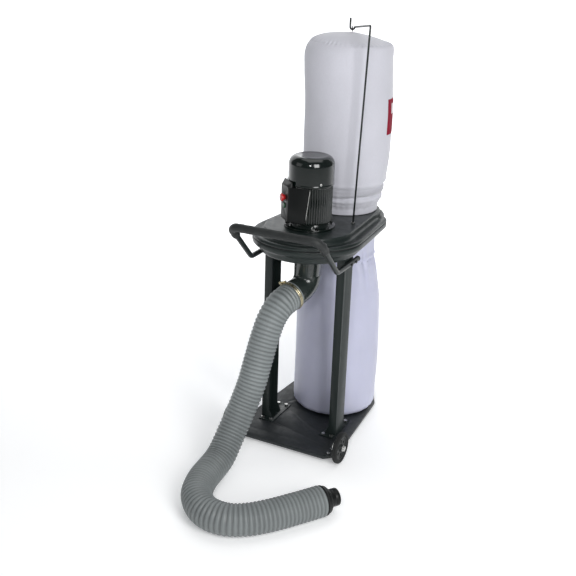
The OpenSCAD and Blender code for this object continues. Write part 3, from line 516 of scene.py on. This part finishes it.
route = catmull(hose_points, exit_point - exit_dir * 0.04, hose_points[-1] + end_dir * 0.06, 12)
route = [exit_point - exit_dir * 0.029] + route
hose_length = sum((b - a).length for a, b in zip(route, route[1:]))
RIB, HOSE_SIDES = 0.0142, 56
HOSE_CREST, HOSE_DIP = 0.0534, 0.0036
fine = [Vector((p.x, p.y, max(p.z, 0.0537))) for p in resample(route, RIB / 12)]
hose_radius = []
for i in range(len(fine)):
    s = i * hose_length / (len(fine) - 1)
    wave = 0.5 + 0.5 * math.cos(2 * math.pi * s / RIB)
    crest = HOSE_CREST - HOSE_DIP * (1 - wave) ** 1.5
    if s < 0.012:
        crest = 0.0520
    hose_radius.append(crest)
verts, faces = sweep(fine, hose_radius, HOSE_SIDES, (False, True))
hose = mesh_object("hose_corrugated", verts, faces)
depth = hose.data.attributes.new("groove", "FLOAT", "POINT")
for i, value in enumerate(hose_radius):
    for k in range(HOSE_SIDES):
        depth.data[i * HOSE_SIDES + k].value = (HOSE_CREST - value) / HOSE_DIP
place(hose, HOSE, replaces=("hose", "hose_sleeve"))

# End fitting: a moulded cuff with a grooved skirt, and a smaller nozzle.
end = hose_points[-1]
profile = [(0.0300, 0.001), (0.0500, 0.001), (0.0515, 0.003), (0.0515, 0.006), (0.0500, 0.0075),
           (0.0485, 0.0085), (0.0478, 0.0125), (0.0470, 0.0165), (0.0455, 0.0190),
           (0.0420, 0.0202), (0.0330, 0.0205), (0.0285, 0.0205), (0.0280, 0.018)]
verts, faces = lathe(profile, end, end_dir, 96, False)
cuff = place(mesh_object("hose_end_cuff", verts, faces), BLACK_PLASTIC,
             replaces=("hose_cuff",))
profile = [(0.0275, 0.0195), (0.0400, 0.0200), (0.0402, 0.0235), (0.0385, 0.0252), (0.0325, 0.0262),
           (0.0306, 0.0290), (0.0303, 0.0350), (0.0303, 0.0400), (0.0297, 0.0410),
           (0.0297, 0.0440), (0.0303, 0.0450), (0.0302, 0.0570), (0.0296, 0.0593),
           (0.0285, 0.0600), (0.0276, 0.0593), (0.0272, 0.0560), (0.0270, 0.0300)]
verts, faces = lathe(profile, end, end_dir, 96, True)
nozzle = place(mesh_object("hose_end_nozzle", verts, faces), BLACK_PLASTIC,
               replaces=("hose_nozzle",))

# Worm-drive clamp: two rolled bands, a screw housing, a screw with a round head.
clamp_at = exit_point - exit_dir * 0.0155
band = []
for centre in (-0.0036, 0.0036):
    band += [[(0.0528, centre - 0.0026), (0.0541, centre - 0.0030), (0.0549, centre - 0.0018),
              (0.0551, centre), (0.0549, centre + 0.0018), (0.0541, centre + 0.0030),
              (0.0528, centre + 0.0026)]]
verts, faces = [], []
for profile in band:
    v, f = lathe(profile, clamp_at, exit_dir, 96, True)
    faces += [tuple(i + len(verts) for i in face) for face in f]
    verts += v
t = exit_dir
up_side = (Vector((0, 0, 1)) - t * t.z).normalized()
across = t.cross(up_side)
spot = (up_side * math.cos(math.radians(28)) - across * math.sin(math.radians(28))).normalized()
if spot.dot(Vector((-1, 0, 0))) < 0:
    spot = (up_side * math.cos(math.radians(28)) + across * math.sin(math.radians(28))).normalized()
along = t.cross(spot)
seat = clamp_at + spot * 0.0575


def block(centre, ax, ay, az, sx, sy, sz):
    verts = [centre + ax * (x * sx) + ay * (y * sy) + az * (z * sz)
             for x in (-0.5, 0.5) for y in (-0.5, 0.5) for z in (-0.5, 0.5)]
    faces = [(0, 1, 3, 2), (4, 6, 7, 5), (0, 4, 5, 1), (2, 3, 7, 6), (0, 2, 6, 4), (1, 5, 7, 3)]
    return verts, faces


for v, f in (block(seat - along * 0.008, spot, along, t, 0.0075, 0.0025, 0.012),
             block(seat + along * 0.008, spot, along, t, 0.0075, 0.0025, 0.012),
             lathe([(0.0, -0.017), (0.0026, -0.017), (0.0026, 0.014), (0.0062, 0.0145),
                    (0.0062, 0.0185), (0.0050, 0.0195), (0.0, 0.0195)],
                   seat + spot * 0.0020, along, 24, False)):
    faces += [tuple(i + len(verts) for i in face) for face in f]
    verts += v
clamp = mesh_object("hose_clamp_bands", verts, faces)
sharpen(clamp)
place(clamp, YELLOW_ZINC, replaces=("hose_clamp",))


# ---------------------------------------------------------------- fan housing

RIM_R, SHOULDER_R, SHOULDER_AT = 0.206, 0.058, Vector((0.128, 0.190))


def past_circle(start, ray, centre, radius):
    """How far along a ray its way out of a circle is, or 0 if it misses the circle."""
    w = start - centre
    q = w.dot(ray) ** 2 - w.dot(w) + radius * radius
    return math.sqrt(q) - w.dot(ray) if q > 0 else 0.0


def past_side(start, ray, c0, r0, c1, r1):
    """How far along a ray it crosses the straight side that joins two circles, or 0."""
    v = c1 - c0
    n = math.atan2(v.y, v.x) - math.acos(max(-1.0, min(1.0, (r0 - r1) / v.length)))
    u = Vector((math.cos(n), math.sin(n)))
    p, along = c0 + u * r0, v + u * (r1 - r0)
    det = ray.x * along.y - ray.y * along.x
    if abs(det) < 1e-12:
        return 0.0
    w = p - start
    t = (w.x * along.y - w.y * along.x) / det
    at = (w.x * ray.y - w.y * ray.x) / det
    return t if 0.0 <= at <= 1.0 else 0.0


OUTLINE_POINTS = 360


def plan(front, rear):
    """Outline of the housing: a front arc, a rear arc and fuller shoulders beside the bag."""
    k = min(1.0, front / (RIM_R - SHOULDER_R + 0.004))
    start = Vector((0, 0.060))
    shoulder, spread = start + (SHOULDER_AT - start) * k, max(0.004 * k, SHOULDER_R + front - RIM_R)
    motor, bag_axis = Vector((0, MOTOR_Y)), Vector((0, BAG_Y))
    pts = []
    for i in range(OUTLINE_POINTS):
        a = -math.pi / 2 - 2 * math.pi * i / OUTLINE_POINTS
        ray = Vector((abs(math.cos(a)), math.sin(a)))
        far = max(past_circle(start, ray, motor, front), past_circle(start, ray, bag_axis, rear),
                  past_circle(start, ray, shoulder, spread),
                  past_side(start, ray, motor, front, shoulder, spread),
                  past_side(start, ray, motor, front, bag_axis, rear))
        pts.append((far * math.cos(a), start.y + far * math.sin(a)))
    return pts


def pressed(profile):
    """A pressed-steel tub from (front radius, rear radius, height) rows, closed at the last."""
    rings = [[Vector((x, y, z)) for x, y in plan(f, r)] for f, r, z in profile]
    return loft(rings, (False, True))


def curl(front, rear, z, radius, steps=5):
    """Rows of a rounded top edge, from facing outward to facing up."""
    angles = [math.pi / 2 * k / steps for k in range(steps + 1)]
    return [(front + radius * math.cos(a), rear + radius * math.cos(a), z + radius * math.sin(a))
            for a in angles]


upper_rows = ([(0.2000, 0.1560, 0.7982), (0.2030, 0.1598, 0.7986), (0.2052, 0.1613, 0.8010),
               (0.2055, 0.1615, 0.8045), (0.2045, 0.1608, 0.8085), (0.2018, 0.1585, 0.8112),
               (0.1975, 0.1555, 0.8122), (0.1920, 0.1525, 0.8116), (0.1860, 0.1498, 0.8098),
               (0.1790, 0.1475, 0.8082), (0.1720, 0.1455, 0.8080), (0.1672, 0.1445, 0.8096),
               (0.1645, 0.1438, 0.8130), (0.1633, 0.1432, 0.8180), (0.1630, 0.1430, 0.8230)]
              + curl(0.1575, 0.1375, DECK - 0.0055, 0.0055)
              + [(0.1500, 0.1300, DECK + 0.0001), (0.120, 0.100, DECK + 0.0001),
                 (0.060, 0.050, DECK + 0.0001)])
verts, faces = pressed(upper_rows)
deck = mesh_object("housing_top_pressing", verts, faces)
sharpen(deck, 50)
place(deck, GREEN_GREY, replaces=("housing_upper",))
lower_rows = [(0.010, 0.010, 0.7425), (0.100, 0.080, 0.7425), (0.1600, 0.1200, 0.7420),
              (0.1680, 0.1280, 0.7426), (0.1740, 0.1340, 0.7450), (0.1785, 0.1385, 0.7490),
              (0.1805, 0.1402, 0.7550), (0.1820, 0.1412, 0.7620), (0.1845, 0.1430, 0.7675),
              (0.1890, 0.1470, 0.7708), (0.1950, 0.1530, 0.7725), (0.2005, 0.1578, 0.7745),
              (0.2040, 0.1603, 0.7785), (0.2053, 0.1614, 0.7845), (0.2054, 0.1615, 0.7910),
              (0.2048, 0.1610, 0.7955), (0.2030, 0.1598, 0.7974), (0.1950, 0.1550, 0.7980)]
rings = [[Vector((x, y, z)) for x, y in plan(f, r)] for f, r, z in lower_rows]
verts, faces = loft(rings, (True, False))
drum = mesh_object("housing_bottom_pressing", verts, faces)
sharpen(drum, 50)
place(drum, GREEN_GREY, replaces=("housing_lower",))
for name, z0, z1 in (("upper_collar", DECK - 0.001, 0.872), ("lower_collar", 0.700, 0.743)):
    verts, faces = lathe([(0.1250, z0), (0.1250, z1 - 0.001), (0.1244, z1), (0.1228, z1),
                          (0.1225, z0)], (0, BAG_Y, 0), (0, 0, 1), 96, True)
    place(mesh_object(name, verts, faces), GREEN_GREY)


# ---------------------------------------------------------------- bags

SEAM_AT = 118        # degrees round the bag of its upright seam
LEAN_TO = math.radians(26)


def angle_gap(a, b):
    return abs((a - b + math.pi) % (2 * math.pi) - math.pi)


def interp(table, z):
    if z <= table[0][0]:
        return table[0][1]
    for (z0, r0), (z1, r1) in zip(table, table[1:]):
        if z <= z1:
            t = (z - z0) / (z1 - z0)
            t = t * t * (3 - 2 * t) * 0.5 + t * 0.5
            return r0 + (r1 - r0) * t
    return table[-1][1]


FILTER = [(0.833, 0.1296), (0.8345, 0.1312), (0.838, 0.1315), (0.850, 0.1315), (0.856, 0.1312),
          (0.862, 0.1335), (0.870, 0.1385), (0.878, 0.1428), (0.888, 0.1455), (0.900, 0.1472),
          (0.915, 0.1488), (0.935, 0.1518), (0.950, 0.1548), (0.980, 0.1588), (1.020, 0.1620),
          (1.060, 0.1636), (1.100, 0.1640), (1.350, 0.1640), (1.405, 0.1630)]


def behind_lever(r, a, z, low, high):
    """Draws the hem in where the strap comes out of it, so that strap and lever show."""
    across = max(0.0, min(1.0, (20.0 - math.degrees(angle_gap(a, math.radians(174.5)))) / 4.0))
    up = max(0.0, min(1.0, (high + 0.010 - z) / 0.010)) * max(0.0, min(1.0, (z - low + 0.010) / 0.010))
    return r + (0.1263 - r) * across * across * (3 - 2 * across) * up * up * (3 - 2 * up)


def filter_radius(a, z):
    """Radius of the filter bag at an angle round it and a height."""
    r = interp(FILTER, z)
    # gathers above the strap, fading upwards
    grip = max(0.0, min(1.0, (0.935 - z) / 0.07)) * max(0.0, min(1.0, (z - 0.850) / 0.012))
    folds = (math.sin(a * 19 + 2.2 * math.sin(a * 3 + 0.7)) * 0.0012
             + math.sin(a * 31 + 1.7 * math.sin(a * 5)) * 0.0008)
    r += grip * folds
    # rolls of slack cloth that run round the bag, low down
    for z0, width, depth, wander, phase in (
            (0.936, 0.0062, 0.0058, 0.004, 0.3), (0.899, 0.0060, 0.0070, 0.004, 1.4),
            (0.874, 0.0042, 0.0034, 0.003, 2.9), (0.916, 0.0070, 0.0016, 0.006, 4.0)):
        centre = z0 + wander * math.sin(a * 1.0 + phase) + 0.0016 * math.sin(a * 4 + phase * 3)
        strength = 0.70 + 0.30 * math.sin(a * 2 + phase * 2)
        r -= depth * strength * math.exp(-((z - centre) / width) ** 2)
        r += depth * 0.60 * strength * math.exp(-((z - centre - 2.1 * width) / (1.5 * width)) ** 2)
    # broad waves of the cloth and a sewn seam up the back
    high = max(0.0, min(1.0, (z - 0.92) / 0.15))
    r += high * 0.0016 * fbm((math.cos(a) * 1.1, math.sin(a) * 1.1, z * 2.2), 1.6, 2)
    r += high * 0.0007 * math.sin(a * 6 + z * 5) * math.sin(z * 9 + a)
    seam = angle_gap(a, math.radians(SEAM_AT)) / math.radians(1.2)
    r -= 0.0014 * math.exp(-seam * seam)
    r += 0.0009 * math.exp(-((abs(seam) - 2.6) / 1.1) ** 2)
    return behind_lever(r, a, z, 0.800, 0.854)


# Half profiles of the dome, shoulder to middle: the right side keeps a square shoulder and
# slopes up straight, the left side is round.
RIGHT_DOME = [(0.1630, 1.405), (0.1628, 1.425), (0.1605, 1.440), (0.1530, 1.4490),
              (0.1320, 1.4570), (0.1000, 1.4665), (0.0640, 1.4755), (0.0300, 1.4815), (0.0, 1.4835)]
LEFT_DOME = [(0.1630, 1.405), (0.1600, 1.425), (0.1540, 1.441), (0.1435, 1.4555),
             (0.1280, 1.4675), (0.1040, 1.4765), (0.0700, 1.4815), (0.0350, 1.4830), (0.0, 1.4835)]


def along_table(table, t):
    """A point of a smooth curve through the rows of a table; t runs from 0 to 1."""
    u = t * (len(table) - 1)
    i = min(int(u), len(table) - 2)
    f = u - i
    rows = [Vector(table[max(0, min(len(table) - 1, j))]) for j in (i - 1, i, i + 1, i + 2)]
    p, q, r, s = rows
    return 0.5 * (2 * q + (r - p) * f + (2 * p - 5 * q + 4 * r - s) * f * f
                  + (3 * q - p - 3 * r + s) * f ** 3)


def dome_point(a, t):
    """A point of the dome: t is 0 at the shoulder and 1 at the middle."""
    side = 0.5 + 0.5 * math.cos(a - LEAN_TO)
    side = side * side * (3 - 2 * side)
    r, z = along_table(RIGHT_DOME, t) * side + along_table(LEFT_DOME, t) * (1 - side)
    z += 0.0028 * math.exp(-(r / 0.030) ** 2)
    # puckers along the sewn circle at the shoulder
    pucker = math.exp(-((t - 0.42) / 0.09) ** 2)
    wave = math.sin(a * 46 + 2.6 * math.sin(a * 4)) * (0.65 + 0.35 * math.sin(a * 7 + 1))
    r += 0.0010 * pucker * wave
    z += 0.0017 * pucker * wave
    seam = math.exp(-((t - 0.36) / 0.022) ** 2)
    r -= 0.0008 * seam
    z -= 0.0006 * seam
    z += 0.0022 * fbm((r * math.cos(a), r * math.sin(a), 0.3), 9.0, 2) * (1 - t * 0.5)
    return r, z


LEAN = [(0.930, 0.0), (1.000, 0.0015), (1.080, 0.0024), (1.200, 0.0026), (1.250, 0.0008),
        (1.300, -0.0026), (1.350, -0.0056), (1.400, -0.0080), (1.440, -0.0070), (1.490, -0.0030)]


def lean(z):
    """How far the bag stands off its axis, to the right of the usual view."""
    return interp(LEAN, z)


SIDES = 320
rings = []
heights = [0.833 + 0.0016 * k for k in range(6)]
z = heights[-1]
while z < 0.955:
    z += 0.0020
    heights.append(z)
while z < 1.400:
    z += 0.0085
    heights.append(z)
heights = [h for h in heights if h <= 1.403]
shift = Vector((math.cos(LEAN_TO), math.sin(LEAN_TO), 0))
for z in heights:
    off = shift * lean(z)
    rings.append([Vector((filter_radius(a, z) * math.cos(a), BAG_Y + filter_radius(a, z)
                          * math.sin(a), z)) + off
                  for a in (2 * math.pi * k / SIDES for k in range(SIDES))])
base_r = [filter_radius(2 * math.pi * k / SIDES, heights[-1]) for k in range(SIDES)]
for j in range(1, 45):
    t = (j / 44) ** 0.9
    ring = []
    for k in range(SIDES):
        a = 2 * math.pi * k / SIDES
        r, z = dome_point(a, t)
        r += (base_r[k] - 0.163) * (1 - t) ** 3
        ring.append(Vector((max(r, 1e-5) * math.cos(a), BAG_Y + max(r, 1e-5) * math.sin(a), z))
                    + shift * lean(z) * (1 - t ** 4))
    rings.append(ring)
# the turned-in hem at the bottom
bottom_edge_band = [[Vector(((p.x) * 0.985, BAG_Y + (p.y - BAG_Y) * 0.985, p.z + 0.004)) for p in rings[0]]]
verts, faces = loft(bottom_edge_band + rings)
bag = mesh_object("filter_bag_cloth", verts, faces)
place(bag, CLOTH, replaces=("filter_bag",))

# Stitches of the sewn circle and the upright seam.
stitches_v, stitches_f = [], []
for k in range(150):
    a = 2 * math.pi * k / 150
    r0, z0 = dome_point(a, 0.33 + 0.045)
    a2 = a + math.radians(1.25)
    r1, z1 = dome_point(a2, 0.33 + 0.045)
    p = Vector((r0 * math.cos(a), BAG_Y + r0 * math.sin(a), z0 + 0.0003)) + shift * lean(z0)
    q = Vector((r1 * math.cos(a2), BAG_Y + r1 * math.sin(a2), z1 + 0.0003)) + shift * lean(z1)
    v, f = sweep([p, q], 0.00055, 6)
    stitches_f += [tuple(i + len(stitches_v) for i in face) for face in f]
    stitches_v += v
z = 0.96
while z < 1.395:
    for side in (-1, 1):
        a = math.radians(SEAM_AT + side * 1.9)
        off = shift * lean(z)
        r = filter_radius(a, z) + 0.0003
        p = Vector((r * math.cos(a), BAG_Y + r * math.sin(a), z)) + off
        q = Vector((r * math.cos(a), BAG_Y + r * math.sin(a), z + 0.0045)) + off
        v, f = sweep([p, q], 0.00055, 6)
        stitches_f += [tuple(i + len(stitches_v) for i in face) for face in f]
        stitches_v += v
    z += 0.0075
stitches = mesh_object("filter_bag_stitches", stitches_v, stitches_f)
THREAD = plastic("thread", (0.50, 0.50, 0.54), 0.8, 0.3)
place(stitches, THREAD)


# Printed cloth patch: a plain red field with a white block, sewn round its edge.
def patch(name, a0, a1, z0, z1, lift, cols, rows):
    verts = []
    for i in range(rows + 1):
        z = z0 + (z1 - z0) * i / rows
        for k in range(cols + 1):
            a = math.radians(a0 + (a1 - a0) * k / cols)
            edge = min(i, rows - i, k, cols - k) / 2
            r = filter_radius(a, z) + lift * min(1.0, 0.25 + edge)
            verts.append(Vector((r * math.cos(a), BAG_Y + r * math.sin(a), z))
                         + shift * lean(z))
    w = cols + 1
    faces = [(i * w + k, i * w + k + 1, (i + 1) * w + k + 1, (i + 1) * w + k)
             for i in range(rows) for k in range(cols)]
    return mesh_object(name, verts, faces)


place(patch("label_field", -7, 41, 1.132, 1.262, 0.0013, 48, 40), LABEL_RED,
      replaces=("bag_label",))
place(patch("label_block", 3, 35, 1.205, 1.247, 0.0019, 36, 16), LABEL_WHITE)

SACK_TABLE = [(0.0262, 0.146), (0.030, 0.1555), (0.036, 0.1610), (0.046, 0.1640), (0.080, 0.1655),
              (0.150, 0.1660), (0.300, 0.1662), (0.440, 0.1655), (0.480, 0.1635), (0.510, 0.1600),
              (0.545, 0.1535), (0.579, 0.1470), (0.610, 0.1390), (0.630, 0.1325), (0.640, 0.1305),
              (0.652, 0.1310), (0.672, 0.1285), (0.690, 0.1285), (0.705, 0.1300),
              (0.714, 0.1306), (0.717, 0.1312), (0.730, 0.1312), (0.734, 0.1306), (0.738, 0.1300)]


def sack_radius(a, z):
    r = interp(SACK_TABLE, z)
    # sharp gathers below the collar that open out into the body
    top = max(0.0, min(1.0, (z - 0.49) / 0.12)) * max(0.0, min(1.0, (0.716 - z) / 0.02))
    comb = (math.sin(a * 17 + 2.5 * math.sin(a * 2 + 0.4)) * 0.0016
            + abs(math.sin(a * 13.5 + 1.2 * math.sin(a * 3))) * 0.0016 - 0.0010)
    r += top * comb * (1.0 + 1.3 * math.exp(-((z - 0.640) / 0.03) ** 2))
    # the film is tucked in where it is folded over the collar
    waist = 0.640 + 0.005 * math.sin(a + 0.8) + 0.002 * math.sin(3 * a)
    r -= 0.0030 * math.exp(-((z - waist) / 0.006) ** 2)
    r += 0.0015 * math.exp(-((z - waist - 0.012) / 0.007) ** 2)
    # dents and long soft folds down the body
    body = max(0.0, min(1.0, (0.62 - z) / 0.12)) * max(0.0, min(1.0, (z - 0.03) / 0.05))
    p = (math.cos(a) * 1.3, math.sin(a) * 1.3, z * 1.4)
    r += body * 0.0040 * fbm(p, 1.5, 3)
    r += body * 0.0011 * math.sin(a * 9 + 3 * math.sin(z * 6)) * (0.5 + 0.5 * math.sin(z * 11 + a))
    # crumples at the foot where it rests on the base
    foot = math.exp(-((z - 0.045) / 0.025) ** 2)
    r += foot * 0.0011 * math.sin(a * 22 + 2 * math.sin(a * 5))
    return behind_lever(r, a, z, 0.712, 0.800)


def sack_centre(z):
    """The filled bag leans forwards and a little to the right below its neck."""
    t = max(0.0, min(1.0, (0.600 - z) / 0.560))
    t = t * t * (3 - 2 * t)
    return Vector((0.024 * t, BAG_Y - 0.050 * t, 0))


rings = []
z = 0.0262
heights = []
while z < 0.060:
    heights.append(z)
    z += 0.0022
while z < 0.480:
    heights.append(z)
    z += 0.0085
while z < 0.738:
    heights.append(z)
    z += 0.0030
heights.append(0.738)
for z in heights:
    rings.append([Vector((sack_radius(a, z) * math.cos(a), sack_radius(a, z) * math.sin(a), z))
                  + sack_centre(z) for a in (2 * math.pi * k / SIDES for k in range(SIDES))])
middle = sack_centre(0.0262)
under = [[Vector((middle.x + (p.x - middle.x) * k, middle.y + (p.y - middle.y) * k,
                  0.0262 + 0.0002 * (1 - k))) for p in rings[0]] for k in (0.02, 0.4, 0.8)]
lip = [[Vector((p.x * 0.975, BAG_Y + (p.y - BAG_Y) * 0.975, 0.7370)) for p in rings[-1]],
       [Vector((p.x * 0.970, BAG_Y + (p.y - BAG_Y) * 0.970, 0.7200)) for p in rings[-1]]]
verts, faces = loft(under + rings + lip, (True, False))
sack = mesh_object("collection_bag_film", verts, faces)
place(sack, SACK, replaces=("collection_bag",))


# ---------------------------------------------------------------- handle and rod

HANDLE_R = 0.0095
hx = 0.1697
bar_y, bar_z = -0.367, 0.872
handle_pts = [(hx, -0.031, 0.720), (hx, -0.215, 0.720), (hx, bar_y, bar_z), (-hx, bar_y, bar_z),
              (-hx, -0.215, 0.720), (-hx, -0.031, 0.720)]
path = rounded(handle_pts, [0.030, 0.034, 0.034, 0.030], 8)
verts, faces = sweep(path, HANDLE_R, 28)
tube = mesh_object("handle_tube_bent", verts, faces)
sharpen(tube, 60)
place(tube, BLACK_PAINT, replaces=("handle_tube",))
# foam grip: over the bar and round both corners
grip_pts = [(hx, bar_y + 0.046, bar_z - 0.046), (hx, bar_y, bar_z), (-hx, bar_y, bar_z),
            (-hx, bar_y + 0.046, bar_z - 0.046)]
path = resample(rounded(grip_pts, 0.034, 10), 0.004)
count = len(path)
radii = []
for i in range(count):
    edge = min(i, count - 1 - i)
    r = 0.0150 - 0.0018 * max(0, 2 - edge) / 2
    r += 0.0003 * math.sin(i * 0.9) + 0.00035 * fbm((i * 0.21, 0.4, 0.7), 1.0, 2)
    radii.append(r)
verts, faces = sweep(path, radii, 28)
grip = mesh_object("handle_grip_foam", verts, faces)
place(grip, FOAM, replaces=("handle_grip",))
for x in (-hx, hx):
    verts, faces = lathe([(0.0, -0.001), (0.0085, -0.001), (0.0100, 0.0002), (0.0104, 0.0025),
                          (0.0100, 0.0060), (0.0096, 0.0065)],
                         (x, -0.030, 0.720), (0, -1, 0), 32, False)
    cap = mesh_object("handle_end_cap_" + ("left" if x < 0 else "right"), verts, faces)
    place(cap, RUBBER)

foot = Vector((0.122, 0.020, 0.820))
corner = Vector((0.144, 0.022, 1.529))
hook = Vector((0.007, 0.211, 1.504))
flat = Vector((math.cos(math.radians(206)), math.sin(math.radians(206)), 0))
rod = rounded([foot, corner, hook, hook - Vector((0, 0, 0.008)),
               hook + flat * 0.016 - Vector((0, 0, 0.008)), hook + flat * 0.016,
               hook + flat * 0.016 + Vector((0, 0, 0.032))],
              [0.007, 0.0035, 0.0075, 0.0075, 0.0], 6)
verts, faces = sweep(rod, 0.0035, 20)
place(mesh_object("hanger_rod_bent", verts, faces), BLACK_PAINT,
      replaces=("hanger_rod",))


# ---------------------------------------------------------------- wheels

for side, sign in (("left", -1), ("right", 1)):
    body = side + "_wheel"
    centre = Vector((sign * 0.2215, -0.244, 0.059))
    axis = Vector((sign, 0, 0))
    tread = [(0.0440, 0.0030), (0.0455, 0.0012), (0.0480, 0.0003), (0.0530, 0.0002),
             (0.0560, 0.0012), (0.0578, 0.0032), (0.0587, 0.0060), (0.0590, 0.0080),
             (0.0584, 0.0085), (0.0584, 0.0105), (0.0590, 0.0110), (0.0587, 0.0132),
             (0.0578, 0.0160), (0.0560, 0.0178), (0.0530, 0.0188), (0.0480, 0.0187),
             (0.0455, 0.0178), (0.0440, 0.0160)]
    verts, faces = lathe(tread, centre, axis, 96, True)
    place(mesh_object(side + "_tyre", verts, faces), TYRE, body,
          (side + "_wheel_tyre",))
    bevelled(side + "_wheel_hub", 0.0009, HUB)


# ---------------------------------------------------------------- motor

cowl_profile = [(0.0800, 0.9905), (0.0824, 0.9900), (0.0826, 0.9912), (0.0826, 0.9945),
                (0.0821, 0.9955), (0.0820, 0.9970), (0.0820, 0.9990), (0.0820, 1.0200),
                (0.0820, 1.0500), (0.08195, 1.0580)]
for k in range(1, 17):
    a = math.pi / 2 * k / 16
    cowl_profile.append((0.0550 + 0.0270 * math.cos(a), 1.0590 + 0.0318 * math.sin(a)))
cowl_profile += [(0.0520, 1.0908), (0.0500, 1.0905), (0.0300, 1.0904), (0.0, 1.0904)]
verts, faces = lathe(cowl_profile, (0, MOTOR_Y, 0), (0, 0, 1), 144, False)
cowl = mesh_object("fan_cowl_pressing", verts, faces)
sharpen(cowl, 50)
place(cowl, MOTOR, replaces=("fan_cowl",))

# finned frame: shallow rounded fins that reach almost to the cowl's radius
FINS = 54
rings = []
for z, k in ((0.854, 0.0), (0.855, 0.7), (0.857, 1.0), (0.860, 1.0), (0.983, 1.0), (0.986, 1.0),
             (0.9875, 0.7), (0.989, 0.0)):
    ring = []
    for i in range(FINS * 10):
        a = 2 * math.pi * i / (FINS * 10)
        tip = (0.5 + 0.5 * math.cos(a * FINS)) ** 0.45
        r = 0.0738 + (0.0012 + 0.0042 * tip) * k
        ring.append(Vector((r * math.cos(a), MOTOR_Y + r * math.sin(a), z)))
    rings.append(ring)
verts, faces = loft(rings)
body = mesh_object("motor_frame_finned", verts, faces)
place(body, MOTOR, replaces=("motor_frame",))


# ---------------------------------------------------------------- CAD nodes with rounded edges

for name, width in (
        ("base_plate", 0.0012), ("left_leg", 0.0010), ("right_leg", 0.0010),
        ("wheel_brackets", 0.0008), ("leg_bolts", 0.0004), ("housing_bolts", 0.0004),
        ("handle_bolts", 0.0004), ("motor_bolts", 0.0004), ("cowl_screws", 0.0005),
        ("foot_screws", 0.0004), ("axle_nuts", 0.0005), ("hanger_nuts", 0.0004),
        ("inlet_pipe", 0.0006), ("inlet_elbow", 0.0006), ("inlet_bolts", 0.0004),
        ("drive_end_shield", 0.0015), ("rear_end_shield", 0.0010),
        ("switch_box", 0.0025), ("switch_plate", 0.0010), ("start_button", 0.0010),
        ("stop_button", 0.0022), ("cable_gland", 0.0005), ("rear_feet", 0.0008),
        ("filter_strap", 0.0003), ("sack_strap", 0.0003), ("filter_lever", 0.0004),
        ("sack_lever", 0.0004), ("bag_tab", 0.0005), ("wheel_axles", 0.0005)):
    used = next(s["material_slot"] for s in frame["record"]["subparts"] if s["node"] == name)
    bevelled(name, width, SLOT_MATERIALS[used])


# The cheeks of the switch box reach further round the motor towards the top, and a thin bright
# zinc strip along their edges stands in for the highlight of the edge.
BOX_TURN = math.radians(-44)


def cheek_turn(z):
    return math.radians(9) * max(0.0, min(1.0, (z - 0.862) / 0.124))


def box_point(r, angle, z):
    a = angle + BOX_TURN
    return Vector((r * math.cos(a), MOTOR_Y + r * math.sin(a), z))


box = bpy.data.objects["switch_box_finished"]
for vert in box.data.vertices:
    x, y = vert.co.x, vert.co.y - MOTOR_Y
    r, angle = math.hypot(x, y), math.atan2(y, x) - BOX_TURN
    if abs(r * math.cos(angle)) > 0.060:
        side = 1 if math.cos(angle) > 0 else -1
        moved = box_point(r, angle + side * cheek_turn(vert.co.z), vert.co.z)
        vert.co.x, vert.co.y = moved.x, moved.y
# painted highlight: a thin bright zinc strip stands in for the highlight along the cheek edge
strip = [box_point(0.0846, math.radians(-31.4) + cheek_turn(z), z)
         for z in (0.866 + 0.0118 * k for k in range(11))]
verts, faces = sweep(strip, 0.0011, 12)
place(mesh_object("switch_box_edge_highlight_strip", verts, faces), ZINC)


# ---------------------------------------------------------------- studio

def backdrop():
    """A pale floor that curves up behind the machine."""
    rows = [(-7.0, 0.0)] + [(4.0 + 2.0 * math.sin(math.pi / 2 * k / 16),
                             2.0 - 2.0 * math.cos(math.pi / 2 * k / 16)) for k in range(17)]
    rows.append((6.0, 8.0))
    turn = Matrix.Rotation(math.radians(26.4), 3, "Z")
    verts, faces = [], []
    for y, z in rows:
        for x in (-9.0, 9.0):
            verts.append(turn @ Vector((x, y, z)))
    for i in range(len(rows) - 1):
        faces.append((2 * i, 2 * i + 1, 2 * i + 3, 2 * i + 2))
    return mesh_object("floor", verts, faces)


floor = backdrop()
n = Nodes("floor", (0.93, 0.93, 0.93), 0.75)
n.roughness(n.ramp(n.noise(3.0, 3.0), 0.3, 0.7, 0.68, 0.82))
behind = n.add("ShaderNodeVectorMath", operation="DOT_PRODUCT")
behind.inputs[1].default_value = (-0.445, 0.895, 0.2)
n.link(n.coord.outputs["Object"], behind.inputs[0])
n.bsdf.inputs["Emission Color"].default_value = (0.97, 0.985, 1.0, 1)
n.link(n.ramp(behind.outputs["Value"], -0.4, 3.0, 0.22, 0.85), n.bsdf.inputs["Emission Strength"])
floor.data.materials.append(n.mat)


def area(name, where, target, size, power):
    light = bpy.data.lights.new(name, "AREA")
    light.shape = "RECTANGLE"
    light.size, light.size_y = size
    light.energy = power
    obj = bpy.data.objects.new(name, light)
    obj.location = where
    obj.rotation_euler = (Vector(target) - Vector(where)).to_track_quat("-Z", "Y").to_euler()
    bpy.context.scene.collection.objects.link(obj)


bpy.context.scene.view_settings.view_transform = "Standard"
world = bpy.data.worlds.new("studio")
bpy.context.scene.world = world
world.use_nodes = True
world.node_tree.nodes["Background"].inputs["Color"].default_value = (0.93, 0.96, 1.0, 1)
world.node_tree.nodes["Background"].inputs["Strength"].default_value = 0.13
area("key", (2.5, -2.2, 2.1), (0, 0, 0.8), (1.4, 2.0), 84)
area("fill", (-2.4, -2.8, 2.0), (0, 0, 0.6), (2.0, 2.0), 9)
area("top", (0.2, 0.2, 4.4), (0, 0, 0.4), (3.4, 3.4), 45)
area("flash", (0.9, -2.9, 2.1), (0, -0.1, 0.9), (0.30, 0.20), 14)
